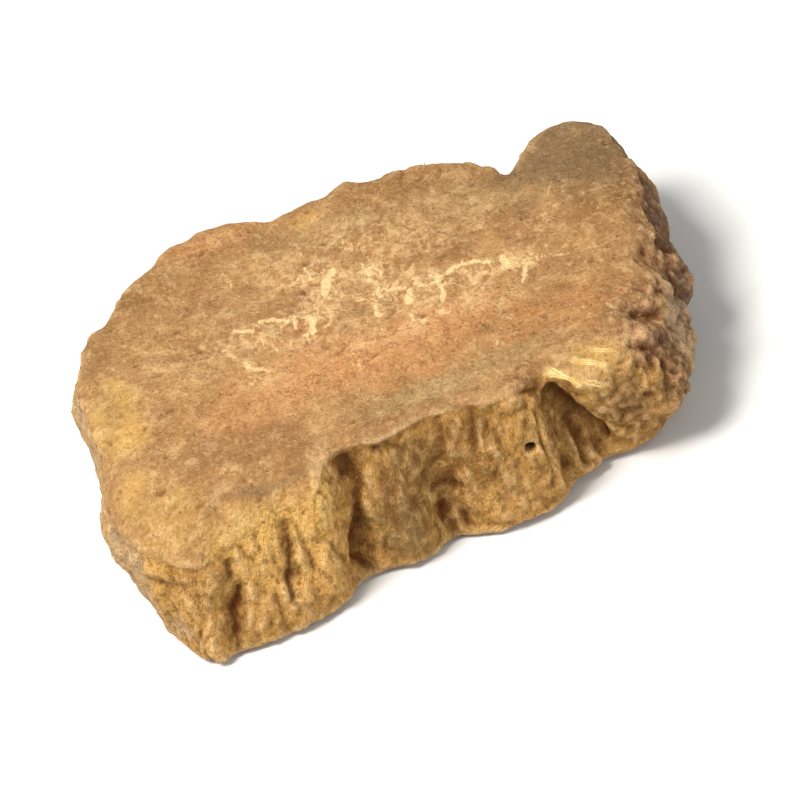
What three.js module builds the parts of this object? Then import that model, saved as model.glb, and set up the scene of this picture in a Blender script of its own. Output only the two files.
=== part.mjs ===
// A thick slice of dried Chinese rhubarb root, cut across the root and lying on its lower cut face.
//
// The slice is one solid, in millimetres, with +Z up, +X along its longer side and -Y towards the
// fluted front of the root. Its origin is under the middle of its bounding box, on the resting face.
// Every place on the rim has one column of points, which runs out from the pith over the upper cut
// face, down the shrunken wall of the root to its foot, and in again under the lower cut face.
import * as THREE from "three";
import { ImprovedNoise } from "three/addons/math/ImprovedNoise.js";

// Driving dimensions
const THICKNESS = 16;
const PITH = { x: -1, y: 5 };
const SAMPLES_PER_STATION = 5;

// Stations round the rim of the upper cut face, counterclockwise from the right. Each has the place
// of the rim, how far the rim drops below the cut face, how wide the shoulder is that leads down to
// it, how far the foot of the wall flares out past the rim, and how far the foot lifts off the
// ground: [x, y, drop, shoulder, flare, lift].
const STATIONS = [
  [30.0, 5.1, 1.5, 2.4, 0.4, 2.4],
  [30.8, 12.0, 1.0, 1.8, 0.6, 1.6],
  [30.6, 17.4, 0.8, 1.6, 0.4, 1.2],
  [29.9, 22.0, 1.0, 2.4, 0.2, 1.0],
  [27.9, 25.8, 1.3, 3.0, -0.2, 0.9],
  [24.6, 27.6, 1.3, 3.0, -0.4, 0.9],
  [21.5, 25.9, 1.1, 2.4, -0.4, 0.8],
  [18.6, 22.7, 0.8, 1.6, -0.2, 0.8],
  [16.2, 23.4, 0.7, 1.4, 0.6, 0.8],
  [12.4, 25.6, 0.6, 1.4, 1.0, 0.9],
  [7.0, 26.1, 0.6, 1.6, 1.2, 0.9],
  [1.6, 26.2, 0.6, 1.6, 1.4, 0.9],
  [-4.2, 25.2, 0.6, 1.4, 1.0, 0.8],
  [-7.6, 24.5, 0.8, 1.4, 0.4, 0.8],
  [-10.8, 25.3, 0.7, 1.6, 0.8, 0.9],
  [-15.0, 25.4, 0.8, 1.8, 0.8, 1.0],
  [-19.9, 23.2, 0.8, 1.8, 0.6, 1.0],
  [-25.2, 18.8, 0.8, 1.8, 0.4, 1.0],
  [-28.9, 13.9, 0.8, 1.8, 0.2, 0.9],
  [-30.8, 7.4, 0.8, 1.8, 0.2, 0.8],
  [-31.1, 0.0, 1.0, 2.4, 0.2, 0.8],
  [-30.8, -7.4, 1.6, 3.6, -0.3, 0.8],
  [-30.2, -13.6, 2.4, 4.8, -1.0, 0.9],
  [-28.2, -18.4, 3.3, 5.8, 0.4, 0.9],
  [-24.2, -21.2, 3.8, 6.4, 2.7, 0.6],
  [-20.0, -20.4, 3.7, 6.2, 3.0, 0.5],
  [-15.6, -19.2, 3.3, 5.6, 3.4, 0.5],
  [-11.4, -18.1, 2.5, 4.4, 3.6, 0.6],
  [-7.4, -16.0, 1.2, 2.4, 2.5, 0.6],
  [-2.6, -14.6, 0.7, 1.4, 2.3, 0.5],
  [2.0, -13.9, 0.6, 1.2, 2.3, 0.5],
  [7.0, -13.6, 0.6, 1.2, 2.8, 0.6],
  [12.0, -13.2, 0.8, 1.4, 2.5, 0.8],
  [15.8, -12.5, 1.4, 2.2, 0.2, 1.6],
  [19.6, -13.2, 2.6, 4.2, -1.8, 2.4],
  [23.6, -12.2, 2.8, 4.6, -1.4, 2.6],
  [26.8, -9.4, 2.8, 4.2, -0.6, 3.0],
  [28.6, -4.8, 2.4, 3.4, 0.0, 3.4],
  [29.5, 0.2, 2.0, 2.8, 0.4, 3.0],
];

// Grooves down the wall where the root shrank as it dried. Each has its place on the rim, its lean
// to the right from the rim down to the foot, its width, its depth at the rim, and its depth at the
// foot: [x, y, lean, width, depth at rim, depth at foot]. The one with negative depths is the rounded
// rib that stands out between the two deepest grooves.
const GROOVES = [
  [15.4, -12.6, 4.4, 1.9, 1.9, 2.8],
  [9.6, -13.3, -0.4, 1.3, 0.4, 1.2],
  [6.4, -13.5, -0.6, 1.5, 1.4, 1.1],
  [2.0, -13.9, 0.5, 1.7, 0.8, 2.4],
  [-2.8, -14.6, 0.2, 2.5, -0.3, -1.3],
  [-6.6, -15.6, -1.2, 1.9, 2.1, 3.4],
  [-12.2, -18.3, -0.6, 1.1, 1.2, 2.0],
  [-14.8, -18.9, 0.0, 1.1, 1.4, 1.9],
  [-18.0, -19.8, 0.2, 1.1, 0.4, 1.2],
  [-21.2, -20.7, -0.9, 1.4, 0.7, 2.4],
  [-26.8, -20.0, 0.4, 1.3, 0.4, 0.7],
  [-31.0, -4.0, 0.0, 1.8, 0.6, 1.3],
  [-30.4, 9.4, 0.0, 2.2, 0.8, 1.8],
  [-27.2, 16.4, 0.0, 1.6, 0.6, 1.4],
  [-22.0, 21.6, 0.8, 2.0, 0.9, 2.3],
  [-16.6, 24.9, 0.2, 1.4, 0.5, 1.4],
  [-7.6, 24.5, 0.6, 1.6, 0.5, 2.2],
  [-1.6, 25.8, -0.5, 1.5, 0.5, 1.6],
  [4.4, 26.2, 0.3, 1.8, 0.6, 2.0],
  [10.2, 26.0, -0.4, 1.3, 0.4, 1.3],
  [18.4, 22.6, 0.4, 1.4, 1.0, 2.4],
  [24.8, 27.6, 0.0, 1.4, 0.3, 1.2],
  [30.2, 20.6, 0.0, 1.8, 0.6, 1.6],
  [30.6, 9.6, 0.0, 1.6, 0.9, 1.4],
  [29.7, 2.0, 0.0, 1.4, 1.0, 1.2],
  [28.0, -6.6, 0.0, 1.5, 1.0, 1.3],
  [22.0, -13.0, 0.4, 1.3, 0.5, 1.1],
];

// Hollows in the wall: [x, y, share of the way down the wall, half width, depth]. The first two are
// the deep dark ones where grooves open out towards the foot.
const WALL_HOLLOWS = [
  [2.4, -13.9, 0.66, 1.5, 1.8],
  [-7.6, -15.8, 0.8, 1.5, 1.6],
  [18.2, -13.2, 0.5, 1.6, 0.9],
  [29.4, -2.4, 0.35, 1.8, 1.0],
  [-22.4, -20.6, 0.75, 1.3, 0.8],
  [12.0, 25.7, 0.6, 2.2, 1.2],
  [-25.4, 18.8, 0.5, 2.4, 1.1],
  [-30.8, 4.0, 0.55, 2.0, 0.9],
];

// Pits and short cracks in the upper cut face: [x, y, half length, half width, heading in degrees, depth].
const PITS = [
  [26.6, -6.0, 1.6, 0.9, 20, 1.3],
  [29.0, 2.6, 2.2, 0.8, 80, 1.1],
  [27.6, -1.6, 1.5, 0.8, 60, 0.8],
  [29.2, 8.4, 1.8, 0.7, 85, 0.8],
  [28.8, 16.4, 1.6, 0.7, 95, 0.6],
  [8.2, 23.9, 1.1, 0.7, 80, 0.7],
  [17.4, 20.6, 1.8, 0.9, 75, 0.9],
  [-7.4, 22.2, 1.6, 0.7, 84, 0.6],
];

// Shares of the way from the pith to the rim at which a point lies on a cut face.
const UPPER_SHARES = [0.1, 0.26, 0.42, 0.56, 0.68, 0.77, 0.84, 0.9, 0.94, 0.975];
const LOWER_SHARES = [0.97, 0.92, 0.84];
// Shares of the way down the wall, from the rim to the foot.
const WALL_SHARES = [0, 0.1, 0.24, 0.4, 0.56, 0.72, 0.86, 0.95, 1];
// How quickly a dent in the rim fades out over the cut face: a higher power keeps it at the rim.
const RIM_DENT_POWER = 6;
// The columns bend over the cut faces so that they meet the rim nearly square, because the root is
// wider than it is deep: 1 would make them straight.
const COLUMN_BEND = 0.4;
// Half the height of a hollow in the wall, as a share of the wall's height.
const HOLLOW_HEIGHT = 0.22;
// Where a groove or a hollow has faded to about a third, as a multiple of its half width.
const DENT_SPREAD = 1.15;

const noise = new ImprovedNoise();

// Perlin noise with features about size millimetres across.
function roughness(x, y, z, size) {
  return noise.noise(x / size + 31.7, y / size + 12.3, z / size + 5.1);
}

// A bump of height 1 that fades out over about one radius.
function bump(dx, dy, radius) {
  return Math.exp(-(dx * dx + dy * dy) / (radius * radius));
}

// Rises smoothly from 0 to 1 as t does.
function smoothstep(t) {
  return THREE.MathUtils.smoothstep(t, 0, 1);
}

// Closed curves through the columns of the stations, two or three columns at a time.
function curveThrough(points) {
  return new THREE.CatmullRomCurve3(points, true, "centripetal");
}
const rimLine = curveThrough(STATIONS.map(([x, y]) => new THREE.Vector3(x, y, 0)));
const shoulderLine = curveThrough(
  STATIONS.map(([, , drop, width]) => new THREE.Vector3(drop, width, 0)),
);
const footLine = curveThrough(
  STATIONS.map(([, , , , flare, lift]) => new THREE.Vector3(flare, lift, 0)),
);

// The rim, shoulder and foot at a share of the way round the root, with the way out from there.
function columnAt(round) {
  const rim = rimLine.getPoint(round);
  const shoulder = shoulderLine.getPoint(round);
  const foot = footLine.getPoint(round);
  return {
    x: rim.x - PITH.x,
    y: rim.y - PITH.y,
    out: new THREE.Vector2(COLUMN_BEND * (rim.x - PITH.x), rim.y - PITH.y).normalize(),
    drop: shoulder.x,
    width: shoulder.y,
    flare: foot.x,
    lift: foot.y,
  };
}

// The plan position on a column, at a share of the way from the pith to the rim and then a
// distance further out.
function planPoint(at, share, further) {
  const x = PITH.x + at.x * share ** COLUMN_BEND + at.out.x * further;
  return [x, PITH.y + at.y * share + at.out.y * further];
}

// How deep the pits and cracks are at a point of the upper cut face.
function pitDepth(x, y) {
  let depth = 0;
  for (const [px, py, length, width, heading, deep] of PITS) {
    const turn = THREE.MathUtils.degToRad(heading);
    const lengthwise = (x - px) * Math.cos(turn) + (y - py) * Math.sin(turn);
    const crosswise = (y - py) * Math.cos(turn) - (x - px) * Math.sin(turn);
    depth += deep * bump(lengthwise / length, crosswise / width, 1);
  }
  return depth;
}

// Height of the upper cut face before its shoulder: the soft pith sank as it dried, the bark ring
// stands up a little round it, a shallow trough runs behind the front rim, and the left side and
// the lobe at the back fall away.
function upperFace(x, y) {
  const pithSink = 0.9 * bump((x - PITH.x) / 21, (y - PITH.y) / 10, 1);
  const frontTrough = 0.7 * bump((x - 6) / 11, (y + 8.6) / 2.2, 1);
  const leftSlope = 0.8 * smoothstep((-x - y - 22) / 26);
  const backLobe = 0.6 * smoothstep((x + y - 38) / 12);
  const waves = 0.55 * roughness(x, y, 0, 15) + 0.3 * roughness(x, y, 9, 6);
  return THICKNESS - pithSink - frontTrough - leftSlope - backLobe + waves - pitDepth(x, y);
}

// How far the wall bellies out between its rim and its foot, most on the right.
function belly(x, down) {
  return (0.9 + 1.2 * smoothstep((x - 20) / 10)) * Math.sin(Math.PI * down);
}

// How far the wall is drawn in by its grooves and by the finer wrinkles between them.
function wallShrink(x, y, z, down) {
  let depth = 0;
  for (const [gx, gy, lean, width, atRim, atFoot] of GROOVES) {
    const deep = atRim + (atFoot - atRim) * smoothstep(down);
    depth += deep * bump(x - gx - lean * down, y - gy, width * DENT_SPREAD);
  }
  for (const [hx, hy, share, halfWidth, deep] of WALL_HOLLOWS) {
    const below = (down - share) / HOLLOW_HEIGHT;
    depth += deep * bump(x - hx, y - hy, halfWidth * DENT_SPREAD) * bump(below, 0, 1);
  }
  const wrinkles = roughness(x, y, z * 0.25, 2.6) + 0.7 * roughness(x, y, z * 0.7, 1.6);
  return depth - 0.5 * wrinkles - 0.6 * roughness(x, y, z * 0.5, 7);
}

// Distance out from the rim line and height of the wall, at a share of the way down it.
function wallAt(at, down) {
  const top = upperFace(...planPoint(at, 1, 0)) - at.drop;
  const z = top + (at.lift - top) * down;
  const straight = at.flare * down;
  const [x, y] = planPoint(at, 1, straight);
  return [straight + belly(x, down) - wallShrink(x, y, z, down), z];
}

function upperPoint(at, share) {
  const [edge] = wallAt(at, 0);
  const [x, y] = planPoint(at, share, edge * share ** RIM_DENT_POWER);
  const [edgeX, edgeY] = planPoint(at, 1, edge);
  const nearness = Math.max(0, 1 - Math.hypot(edgeX - x, edgeY - y) / at.width);
  return [x, y, upperFace(x, y) - at.drop * nearness * nearness];
}

function wallPoint(at, down) {
  const [distance, z] = wallAt(at, down);
  return [...planPoint(at, 1, distance), z];
}

function lowerPoint(at, share) {
  const [edge] = wallAt(at, 1);
  const flatShare = LOWER_SHARES[LOWER_SHARES.length - 1];
  const rise = Math.max(0, (share - flatShare) / (1 - flatShare));
  return [...planPoint(at, share, edge * share ** RIM_DENT_POWER), at.lift * rise * rise];
}

// Joins the columns, from the middle of the upper face to the middle of the lower one, in one skin.
function sliceGeometry() {
  const count = STATIONS.length * SAMPLES_PER_STATION;
  const columns = Array.from({ length: count }, (_, i) => columnAt(i / count));
  const rings = [
    ...UPPER_SHARES.map((share) => columns.map((at) => upperPoint(at, share))),
    ...WALL_SHARES.map((down) => columns.map((at) => wallPoint(at, down))),
    ...LOWER_SHARES.map((share) => columns.map((at) => lowerPoint(at, share))),
  ];
  const upperMiddle = [PITH.x, PITH.y, upperFace(PITH.x, PITH.y)];
  const lowerMiddle = [PITH.x, PITH.y, 0];
  const vertices = [upperMiddle, ...rings.flat(), lowerMiddle];
  const vertexAt = (ring, i) => 1 + ring * count + (i % count);
  const last = rings.length - 1;
  const faces = [];
  for (let i = 0; i < count; i++) {
    faces.push([0, vertexAt(0, i), vertexAt(0, i + 1)]);
    faces.push([vertices.length - 1, vertexAt(last, i + 1), vertexAt(last, i)]);
    for (let ring = 0; ring < last; ring++) {
      const [a, b] = [vertexAt(ring, i), vertexAt(ring, i + 1)];
      const [c, d] = [vertexAt(ring + 1, i), vertexAt(ring + 1, i + 1)];
      faces.push([a, c, d], [a, d, b]);
    }
  }
  const geometry = new THREE.BufferGeometry();
  geometry.setAttribute("position", new THREE.Float32BufferAttribute(vertices.flat(), 3));
  geometry.setIndex(faces.flat());
  geometry.computeBoundingBox();
  const { min, max } = geometry.boundingBox;
  geometry.translate(-(min.x + max.x) / 2, -(min.y + max.y) / 2, 0);
  geometry.computeVertexNormals();
  return geometry;
}

const driedRoot = new THREE.MeshStandardMaterial({ color: 0xc39a62, roughness: 0.88, metalness: 0 });

const rhubarb = new THREE.Group();
const slice = new THREE.Mesh(sliceGeometry(), driedRoot);
slice.name = "root_slice";
rhubarb.add(slice);

export default rhubarb;
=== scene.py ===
"""A thick slice of dried Chinese rhubarb root, lying on its lower cut face.

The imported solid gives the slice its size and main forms. This script grows the fine surface over
it, with the marbled cut faces, the shrunken and peeled side, torn fibres and loose crumbs, and sets
a plain stage around it.
"""

import math

import bmesh
import bpy
import numpy as np
from bpy.props import FloatProperty, FloatVectorProperty, IntProperty, PointerProperty
from mathutils import Matrix, Vector, noise
from mathutils.bvhtree import BVHTree


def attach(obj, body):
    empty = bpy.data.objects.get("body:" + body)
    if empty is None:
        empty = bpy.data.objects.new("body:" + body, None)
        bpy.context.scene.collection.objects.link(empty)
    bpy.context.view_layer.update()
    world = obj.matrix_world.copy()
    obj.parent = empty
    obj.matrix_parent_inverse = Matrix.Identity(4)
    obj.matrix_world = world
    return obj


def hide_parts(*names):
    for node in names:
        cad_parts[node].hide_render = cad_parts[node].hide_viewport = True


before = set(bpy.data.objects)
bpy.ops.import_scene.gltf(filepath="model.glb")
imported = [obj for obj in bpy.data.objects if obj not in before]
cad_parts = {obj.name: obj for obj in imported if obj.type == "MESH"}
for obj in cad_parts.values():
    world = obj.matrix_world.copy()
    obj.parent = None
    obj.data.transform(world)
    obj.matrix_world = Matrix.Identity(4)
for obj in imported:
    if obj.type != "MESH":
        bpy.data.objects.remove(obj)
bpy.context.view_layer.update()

bl_info = {
    "name": "Chinese rhubarb root slice",
    "version": (1, 0, 0),
    "blender": (4, 5, 0),
    "location": "3D View > Sidebar > Root slice",
    "description": "Grows the cut faces, the fluted side, the fibres and the crumbs of a dried root slice",
    "category": "Object",
}

NODE = "root_slice"
BODY = "root"
MM = 0.001

# Middle of the root's pith, in the plan of the slice, and the reach of its rim on average, in mm.
PITH = (-1.4, 2.8)
RIM_REACH = 26.0

# Soft zones of the slice, seen from above: centre x, y, radii along and across, turn in degrees,
# strength. All are in mm, and their edges are ragged.
BLUSH_ZONES = [
    (-0.5, -3.2, 17, 6, 4, 1), (17, -5.4, 9, 4.4, 10, 1), (-14, -6, 8, 5, 0, 0.8),
    (-14, 20.5, 6, 2.6, 8, 0.8),
]
MARBLING_ZONES = [
    (-12.2, 4.4, 5.4, 2, 5, 1), (-6.2, 5.4, 4.4, 2.6, 0, 1), (-4.6, 9, 3.6, 5, 20, 0.8),
    (1.4, 7.2, 4.6, 3.8, 0, 1), (5.6, 4.8, 4.2, 3.2, -25, 1), (10, 4.6, 4.4, 2.6, -15, 0.9),
    (14.4, 4.6, 4.6, 1.8, -5, 0.9), (-13, -2, 3.6, 2.6, -30, 0.45), (2, 1, 15, 4, 0, 0.4),
    (0, 13, 16, 6, 0, 0.45), (-18, 4, 8, 7, 0, 0.3),
]
# Strokes of the marbling, pale and then brown: x, y along each, half width and strength.
PALE_STROKES = [
    ([(-14.3, 5.6), (-12.6, 4.8)], 0.34, 1), ([(-11.6, 6), (-10.3, 5.9), (-8.8, 5.1)], 0.34, 0.9),
    ([(-8.3, 5.8), (-8.1, 3.8)], 0.32, 0.8), ([(-7.4, 5.5), (-6.3, 4.7), (-6.6, 2.4)], 0.5, 1),
    ([(-4.5, 8), (-4, 9.5), (-3, 10.9)], 0.55, 0.9), ([(-4.4, 7.8), (-3.2, 6.2)], 0.34, 0.6),
    ([(-4.6, 6.2), (-4.3, 4.2), (-5.2, 2.9)], 0.38, 0.6), ([(-5.8, 12.3), (-5.4, 10.6)], 0.32, 0.7),
    ([(-7, 12.3), (-6.6, 10.6)], 0.3, 0.5), ([(-11.2, 2.5), (-10.4, 1.2)], 0.3, 0.6),
    ([(-9.3, 2), (-9, 0.9)], 0.28, 0.5), ([(-7.5, 2.3), (-7.2, 1.3)], 0.3, 0.7),
    ([(-15.7, 3.3), (-15, 1.7)], 0.4, 0.6), ([(-14.4, 0.9), (-13.4, -0.6), (-12, -1.4)], 0.42, 0.7),
    ([(-13.9, 14.6), (-13.4, 12.5)], 0.34, 0.5),
    ([(0.3, 8.1), (0.4, 9.6), (1.1, 9.9), (1.6, 8.6)], 0.32, 0.7),
    ([(1, 6.7), (0.9, 5.2)], 0.32, 0.9), ([(2.2, 6), (3.6, 5.6)], 0.46, 0.7),
    ([(3.9, 4.7), (3.6, 2.9)], 0.42, 1), ([(0.1, 4), (0.4, 2.3)], 0.34, 0.8),
    ([(4.8, 5.5), (5.7, 4.7)], 0.42, 0.7),
    ([(6.9, 5.7), (7.2, 4.2), (7.4, 3.4), (7, 1.5)], 0.36, 0.8),
    ([(8.3, 5.6), (10, 6.1), (11.4, 6), (12.6, 5)], 0.34, 0.8),
    ([(14.1, 5.3), (14.4, 3.7)], 0.46, 0.9), ([(16.2, 4.1), (15.9, 2.6), (15.4, 1.1)], 0.38, 0.7),
    ([(3.4, 0.9), (3.6, 0), (4.6, -0.6)], 0.42, 0.7), ([(6.1, 0.3), (7.2, -0.7)], 0.38, 0.7),
    ([(9.4, 2), (9.6, -2.2)], 0.24, 0.5), ([(18.8, 5.5), (18.7, 4.1)], 0.3, 0.5),
    ([(19, 3.5), (20.5, 2.9)], 0.42, 0.5), ([(17.2, 1), (20.6, 0.6), (23.4, -0.6)], 0.7, 0.35),
    ([(10.9, -6.1), (11, -7.7)], 0.44, 0.5), ([(12.7, -6.2), (13.5, -6.8)], 0.3, 0.5),
    ([(-2.9, -3.5), (-3.1, -5.9)], 0.4, 0.45), ([(22.8, -6.6), (23.4, -7.4)], 0.5, 0.5),
    ([(20.9, 14.1), (20.8, 12.5)], 0.5, 0.42), ([(22.4, 13.9), (22.1, 12.1)], 0.5, 0.42),
    ([(24, 11.1), (23.8, 9.7)], 0.5, 0.42), ([(25.4, 9.4), (25.2, 7.8)], 0.5, 0.42),
]
BROWN_STROKES = [
    ([(1.2, 13.7), (1.2, 11.5)], 0.38, 0.7), ([(3.7, 10.1), (3.7, 9.1)], 0.4, 0.7),
    ([(4.6, 8.7), (4.4, 7.9)], 0.34, 0.6), ([(-5.7, 9.9), (-4.7, 9.4)], 0.36, 0.6),
    ([(-2.3, 5.8), (-1.3, 5.2)], 0.36, 0.7), ([(-1.2, 7.6), (-0.3, 6.9)], 0.5, 0.6),
    ([(-4.6, 6.1), (-4.8, 5.1)], 0.28, 0.6), ([(-7.4, 4.7), (-7.6, 3.3), (-8.5, 2.8)], 0.5, 0.7),
    ([(-9.3, 4.7), (-9.2, 3.1)], 0.36, 0.6), ([(-12.1, 4.2), (-11.5, 3.3)], 0.44, 0.5),
    ([(-12.1, 7.9), (-12.1, 6.9)], 0.28, 0.5), ([(-10.2, 1), (-8.9, 0.4)], 0.28, 0.4),
    ([(-15.9, -0.6), (-16, -1.5)], 0.38, 0.4), ([(2.9, 4.9), (2.8, 3.3)], 0.34, 0.7),
    ([(4.9, 3.9), (5.9, 3.1)], 0.6, 0.7), ([(4.4, 6.3), (4.5, 5.2)], 0.28, 0.6),
    ([(9.2, 7.4), (11, 6.8)], 0.5, 0.5), ([(13, 7.3), (14.6, 6.6)], 0.42, 0.5),
    ([(16.6, 12.5), (16.2, 11.1)], 0.38, 0.6), ([(17, 3.7), (17.7, 2.9)], 0.34, 0.8),
    ([(19.6, 5.1), (19.6, 4.1)], 0.3, 0.5), ([(6, -0.9), (6.7, -1.9)], 0.44, 0.6),
    ([(10, -5.5), (9.8, -7.1)], 0.28, 0.6), ([(22.7, -4.8), (23.2, -5.7)], 0.4, 0.5),
    ([(24.5, 10), (25.1, 8.5)], 0.44, 0.5), ([(21.6, 13.6), (21.5, 12)], 0.44, 0.5),
    ([(23.2, 12.6), (23, 10.8)], 0.44, 0.5), ([(-4.4, -5), (-4.8, -5.9)], 0.44, 0.6),
    ([(-13.4, -3.2), (-13.6, -4.1)], 0.46, 0.5),
]
CAMBIUM_ZONES = [
    (3.6, -11.1, 10, 1.9, 12, 1), (13.5, -9.2, 6, 1.5, 14, 0.9), (13, 15.6, 9, 3.4, -14, 0.7),
    (-1, 17, 11, 2.8, -4, 0.6),
]
ASH_ZONES = [
    (24.2, 18.2, 8.6, 7.6, 0, 1), (-14.6, -17.9, 5.4, 0.6, 2, 0.55), (-28.8, -1.5, 1.6, 5, 4, 0.3),
]
GOLD_ZONES = [
    (-15.5, -21.4, 9.5, 3.4, 4, 0.9), (-25.5, -18.6, 5, 4.6, 0, 0.5), (-28.2, -3, 3.2, 6.4, 4, 1),
    (-28.4, -13.5, 2.4, 3.6, 0, 0.7), (20.6, -13.2, 3.6, 2.6, -10, 0.8),
    (-4.4, 19.6, 2.2, 1.4, 0, 0.8),
]
# Browner stretches of the upper cut face, partly its own browner tissue and partly painted shade.
DUSK_AND_SHADE_ZONES = [
    (26, 9.5, 4, 7, 0, 0.55), (-2, 18.6, 20, 3.6, -4, 0.42), (-20, 13, 13, 11, 0, 0.46),
    (-2, 14.6, 23, 7.4, 2, 0.36), (17, -5.4, 13, 6.6, 12, 0.55), (23, 3, 6, 6, 0, 0.3),
    (-19, -6, 9, 9, 0, 0.15), (13.4, -12.2, 3.4, 1.2, 12, 0.35), (-14, -18.2, 6, 1.2, 2, 0.3),
]
# Stretches of the front of the side, in mm across and up: weathered smooth, the one just under the rim
# being painted shade; brown, partly the side's own and partly painted shade under the rim and round
# the hollows; and pale.
ASH_LOBES = [
    (-3.2, 6.6, 3, 6.6, 0, 1), (-0.6, 12.6, 2.6, 2.2, 0, 0.9), (0.9, 9.6, 1.6, 2.6, 0, 0.7),
]
DUSK_AND_SHADE_LOBES = [
    (-8.1, 7.8, 0.8, 5.4, 0, 0.3), (-4, 9.4, 0.9, 4.6, 0, 0.7), (5.6, 12.2, 2.4, 2.6, 0, 0.85),
    (0.8, 11.2, 6.6, 4, 0, 0.85), (4, 8.8, 4.6, 3.6, 0, 0.85), (19.8, 4.6, 4.6, 4.2, 0, 0.45),
    (3.2, 11.6, 1.2, 3, 0, 0.55), (2.2, 5, 1.9, 3.2, 0, 0.85), (16.4, 7.6, 2.2, 5.6, 14, 0.8),
    (-21.6, 5.6, 1.4, 3.4, 0, 0.6),
]
PALE_LOBES = [
    (1.8, 13.6, 2, 0.9, -8, 0.4), (8.6, 4.6, 4.6, 3.6, 0, 0.7), (11.6, 6.8, 1.6, 2.4, 0, 0.7),
    (-2, 11.4, 0.8, 2.4, 0, 0.6), (-14, 8, 7.5, 5.6, 0, 0.6), (-26.4, 7.6, 3.6, 3.4, 0, 0.4),
]
# Rough, broken stretches of the right end.
RUGGED_ZONES = [
    (26.6, -9.6, 4.2, 6.4, 12, 1), (30.4, 0, 3, 10, 0, 1), (22, -16, 5, 2.4, 0, 0.6),
    (29.6, 12, 2.4, 8, 0, 0.7),
]

# Furrows carved in the front of the side, seen from the front: x, z down the furrow, half width,
# depth, and how dark it is, a darkness that is partly the furrow's own brown and partly painted shade.
FURROWS = [
    ([(-14.6, 11.6), (-14.9, 8.4), (-15.6, 4.8)], 0.34, 0.75, 0.9),
    ([(-13.4, 11.2), (-13.2, 9), (-13, 6.6)], 0.28, 0.5, 0.8),
    ([(-18.5, 8.8), (-18.7, 6.4)], 0.3, 0.3, 0.4), ([(-21, 10.9), (-21.2, 9.4)], 0.36, 0.45, 0.8),
    ([(-20.9, 7.8), (-21.6, 5.6), (-22, 3.2)], 0.44, 1, 1),
    ([(-23.5, 8), (-22.8, 6.6), (-22, 5.2)], 0.34, 0.45, 0.7),
    ([(-29.6, 9.4), (-27.6, 9.2), (-25.6, 9.8)], 0.44, 0.5, 0.5),
    ([(-6.9, 14.2), (-6.6, 11.8), (-6.9, 9.4), (-7.5, 6.4), (-7.9, 3.6), (-7.4, 1.2)], 0.48, 1.1, 0.8),
    ([(-7.6, 6), (-7.9, 3.6), (-7.3, 1.2)], 0.5, 0.9, 1),
    ([(-4.6, 14.9), (-3.6, 15.2)], 0.34, 0.4, 0.8),
    ([(-2.8, 15.5), (-1.8, 14.7), (-0.6, 13.7)], 0.36, 0.4, 0.7),
    ([(-3.6, 12.6), (-3.8, 9.2), (-4, 6)], 0.7, 0.35, 0.4),
    ([(0.6, 9.9), (0.3, 8.4)], 0.36, 0.45, 0.7),
    ([(1.2, 7.5), (2.2, 7.3), (3.3, 6.8)], 0.36, 0.4, 0.9),
    ([(1.3, 5.2), (1.4, 3.4), (1.9, 2.4)], 0.48, 0.75, 1), ([(3, 3.6), (3, 2)], 0.42, 0.6, 1),
    ([(1.7, 2.4), (1.8, 0.6)], 0.5, 0.6, 0.9),
    ([(3.2, 13.6), (2.7, 11.8), (2.3, 10.4)], 0.46, 0.28, 0.6),
    ([(6.5, 14.8), (6, 12.2), (5.6, 10.2)], 0.5, 0.4, 0.8),
    ([(7.6, 13), (7.6, 12.3)], 0.36, 0.4, 0.9), ([(7.2, 7.9), (7.1, 7.1)], 0.36, 0.35, 0.8),
    ([(11.8, 14.9), (12.7, 14.5), (13.7, 13.6)], 0.38, 0.5, 0.95),
    ([(14.6, 12.6), (14.3, 9.8), (14.8, 6.8), (15.2, 3.4)], 0.46, 0.8, 0.6),
    ([(15, 12.8), (16.3, 9.4), (17.8, 6.2), (19, 3.4)], 0.4, 1.2, 1),
    ([(16.2, 8), (16.6, 5.2), (16.6, 2.6)], 0.36, 0.6, 0.6),
    ([(13, 9), (13.2, 6.2), (12.8, 3.6)], 0.34, 0.4, 0.5),
]
# A worm hole in the front of the side: x, z, radius and depth. Its dark inside is painted shade.
WORM_HOLE = (11.3, 9.0, 0.40, 2.4)

# Gouges round the right end: x, y, z along each, half width, depth, and how dark it is, a darkness
# that is partly the gouge's own brown and partly painted shade.
GOUGES = [
    ([(30, 3.4, 12.9), (29.9, 0.8, 12), (30.1, -0.8, 10.6), (30.8, -0.8, 8.2)], 0.42, 1, 1),
    ([(31, -0.8, 8), (31.4, -1.2, 5)], 0.36, 0.7, 0.8),
    ([(25.3, -8.1, 14.9), (26.4, -7.8, 14.2), (27.4, -7.4, 13.2)], 0.36, 0.75, 1),
    ([(23.9, -12.4, 14.6), (25, -12.4, 14.1), (26.1, -12, 13.2)], 0.34, 0.65, 0.9),
    ([(28.1, -5, 14.5), (28.7, -4.4, 13.8)], 0.34, 0.5, 0.9),
    ([(26.4, -5, 15.3), (26.8, -5.3, 15.1)], 0.3, 0.35, 0.7),
    ([(25.9, -12.9, 12.8), (25.1, -13.9, 10.2)], 0.36, 0.6, 0.8),
    ([(24.2, -13.5, 13.4), (23.8, -14.4, 11.2)], 0.32, 0.45, 0.7),
    ([(27, -12.4, 11.4), (26.4, -13.6, 8.6)], 0.34, 0.55, 0.8),
    ([(24, -14.9, 9.3), (24.9, -14.6, 8.9)], 0.42, 0.6, 0.9),
    ([(20.8, -15, 8), (21.8, -15, 7.7), (23, -14.9, 7.8)], 0.34, 0.45, 0.7),
    ([(18.6, -14.4, 7.4), (19.6, -14.6, 5.6), (21.4, -14.4, 4.6)], 0.36, 0.5, 0.7),
    ([(28.8, -9.4, 11), (28.6, -9.8, 7.6)], 0.34, 0.5, 0.7),
    ([(22.6, -14.8, 3.6), (24.6, -14.6, 3.9), (26.4, -13.4, 4.2)], 0.38, 0.6, 0.8),
]

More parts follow.
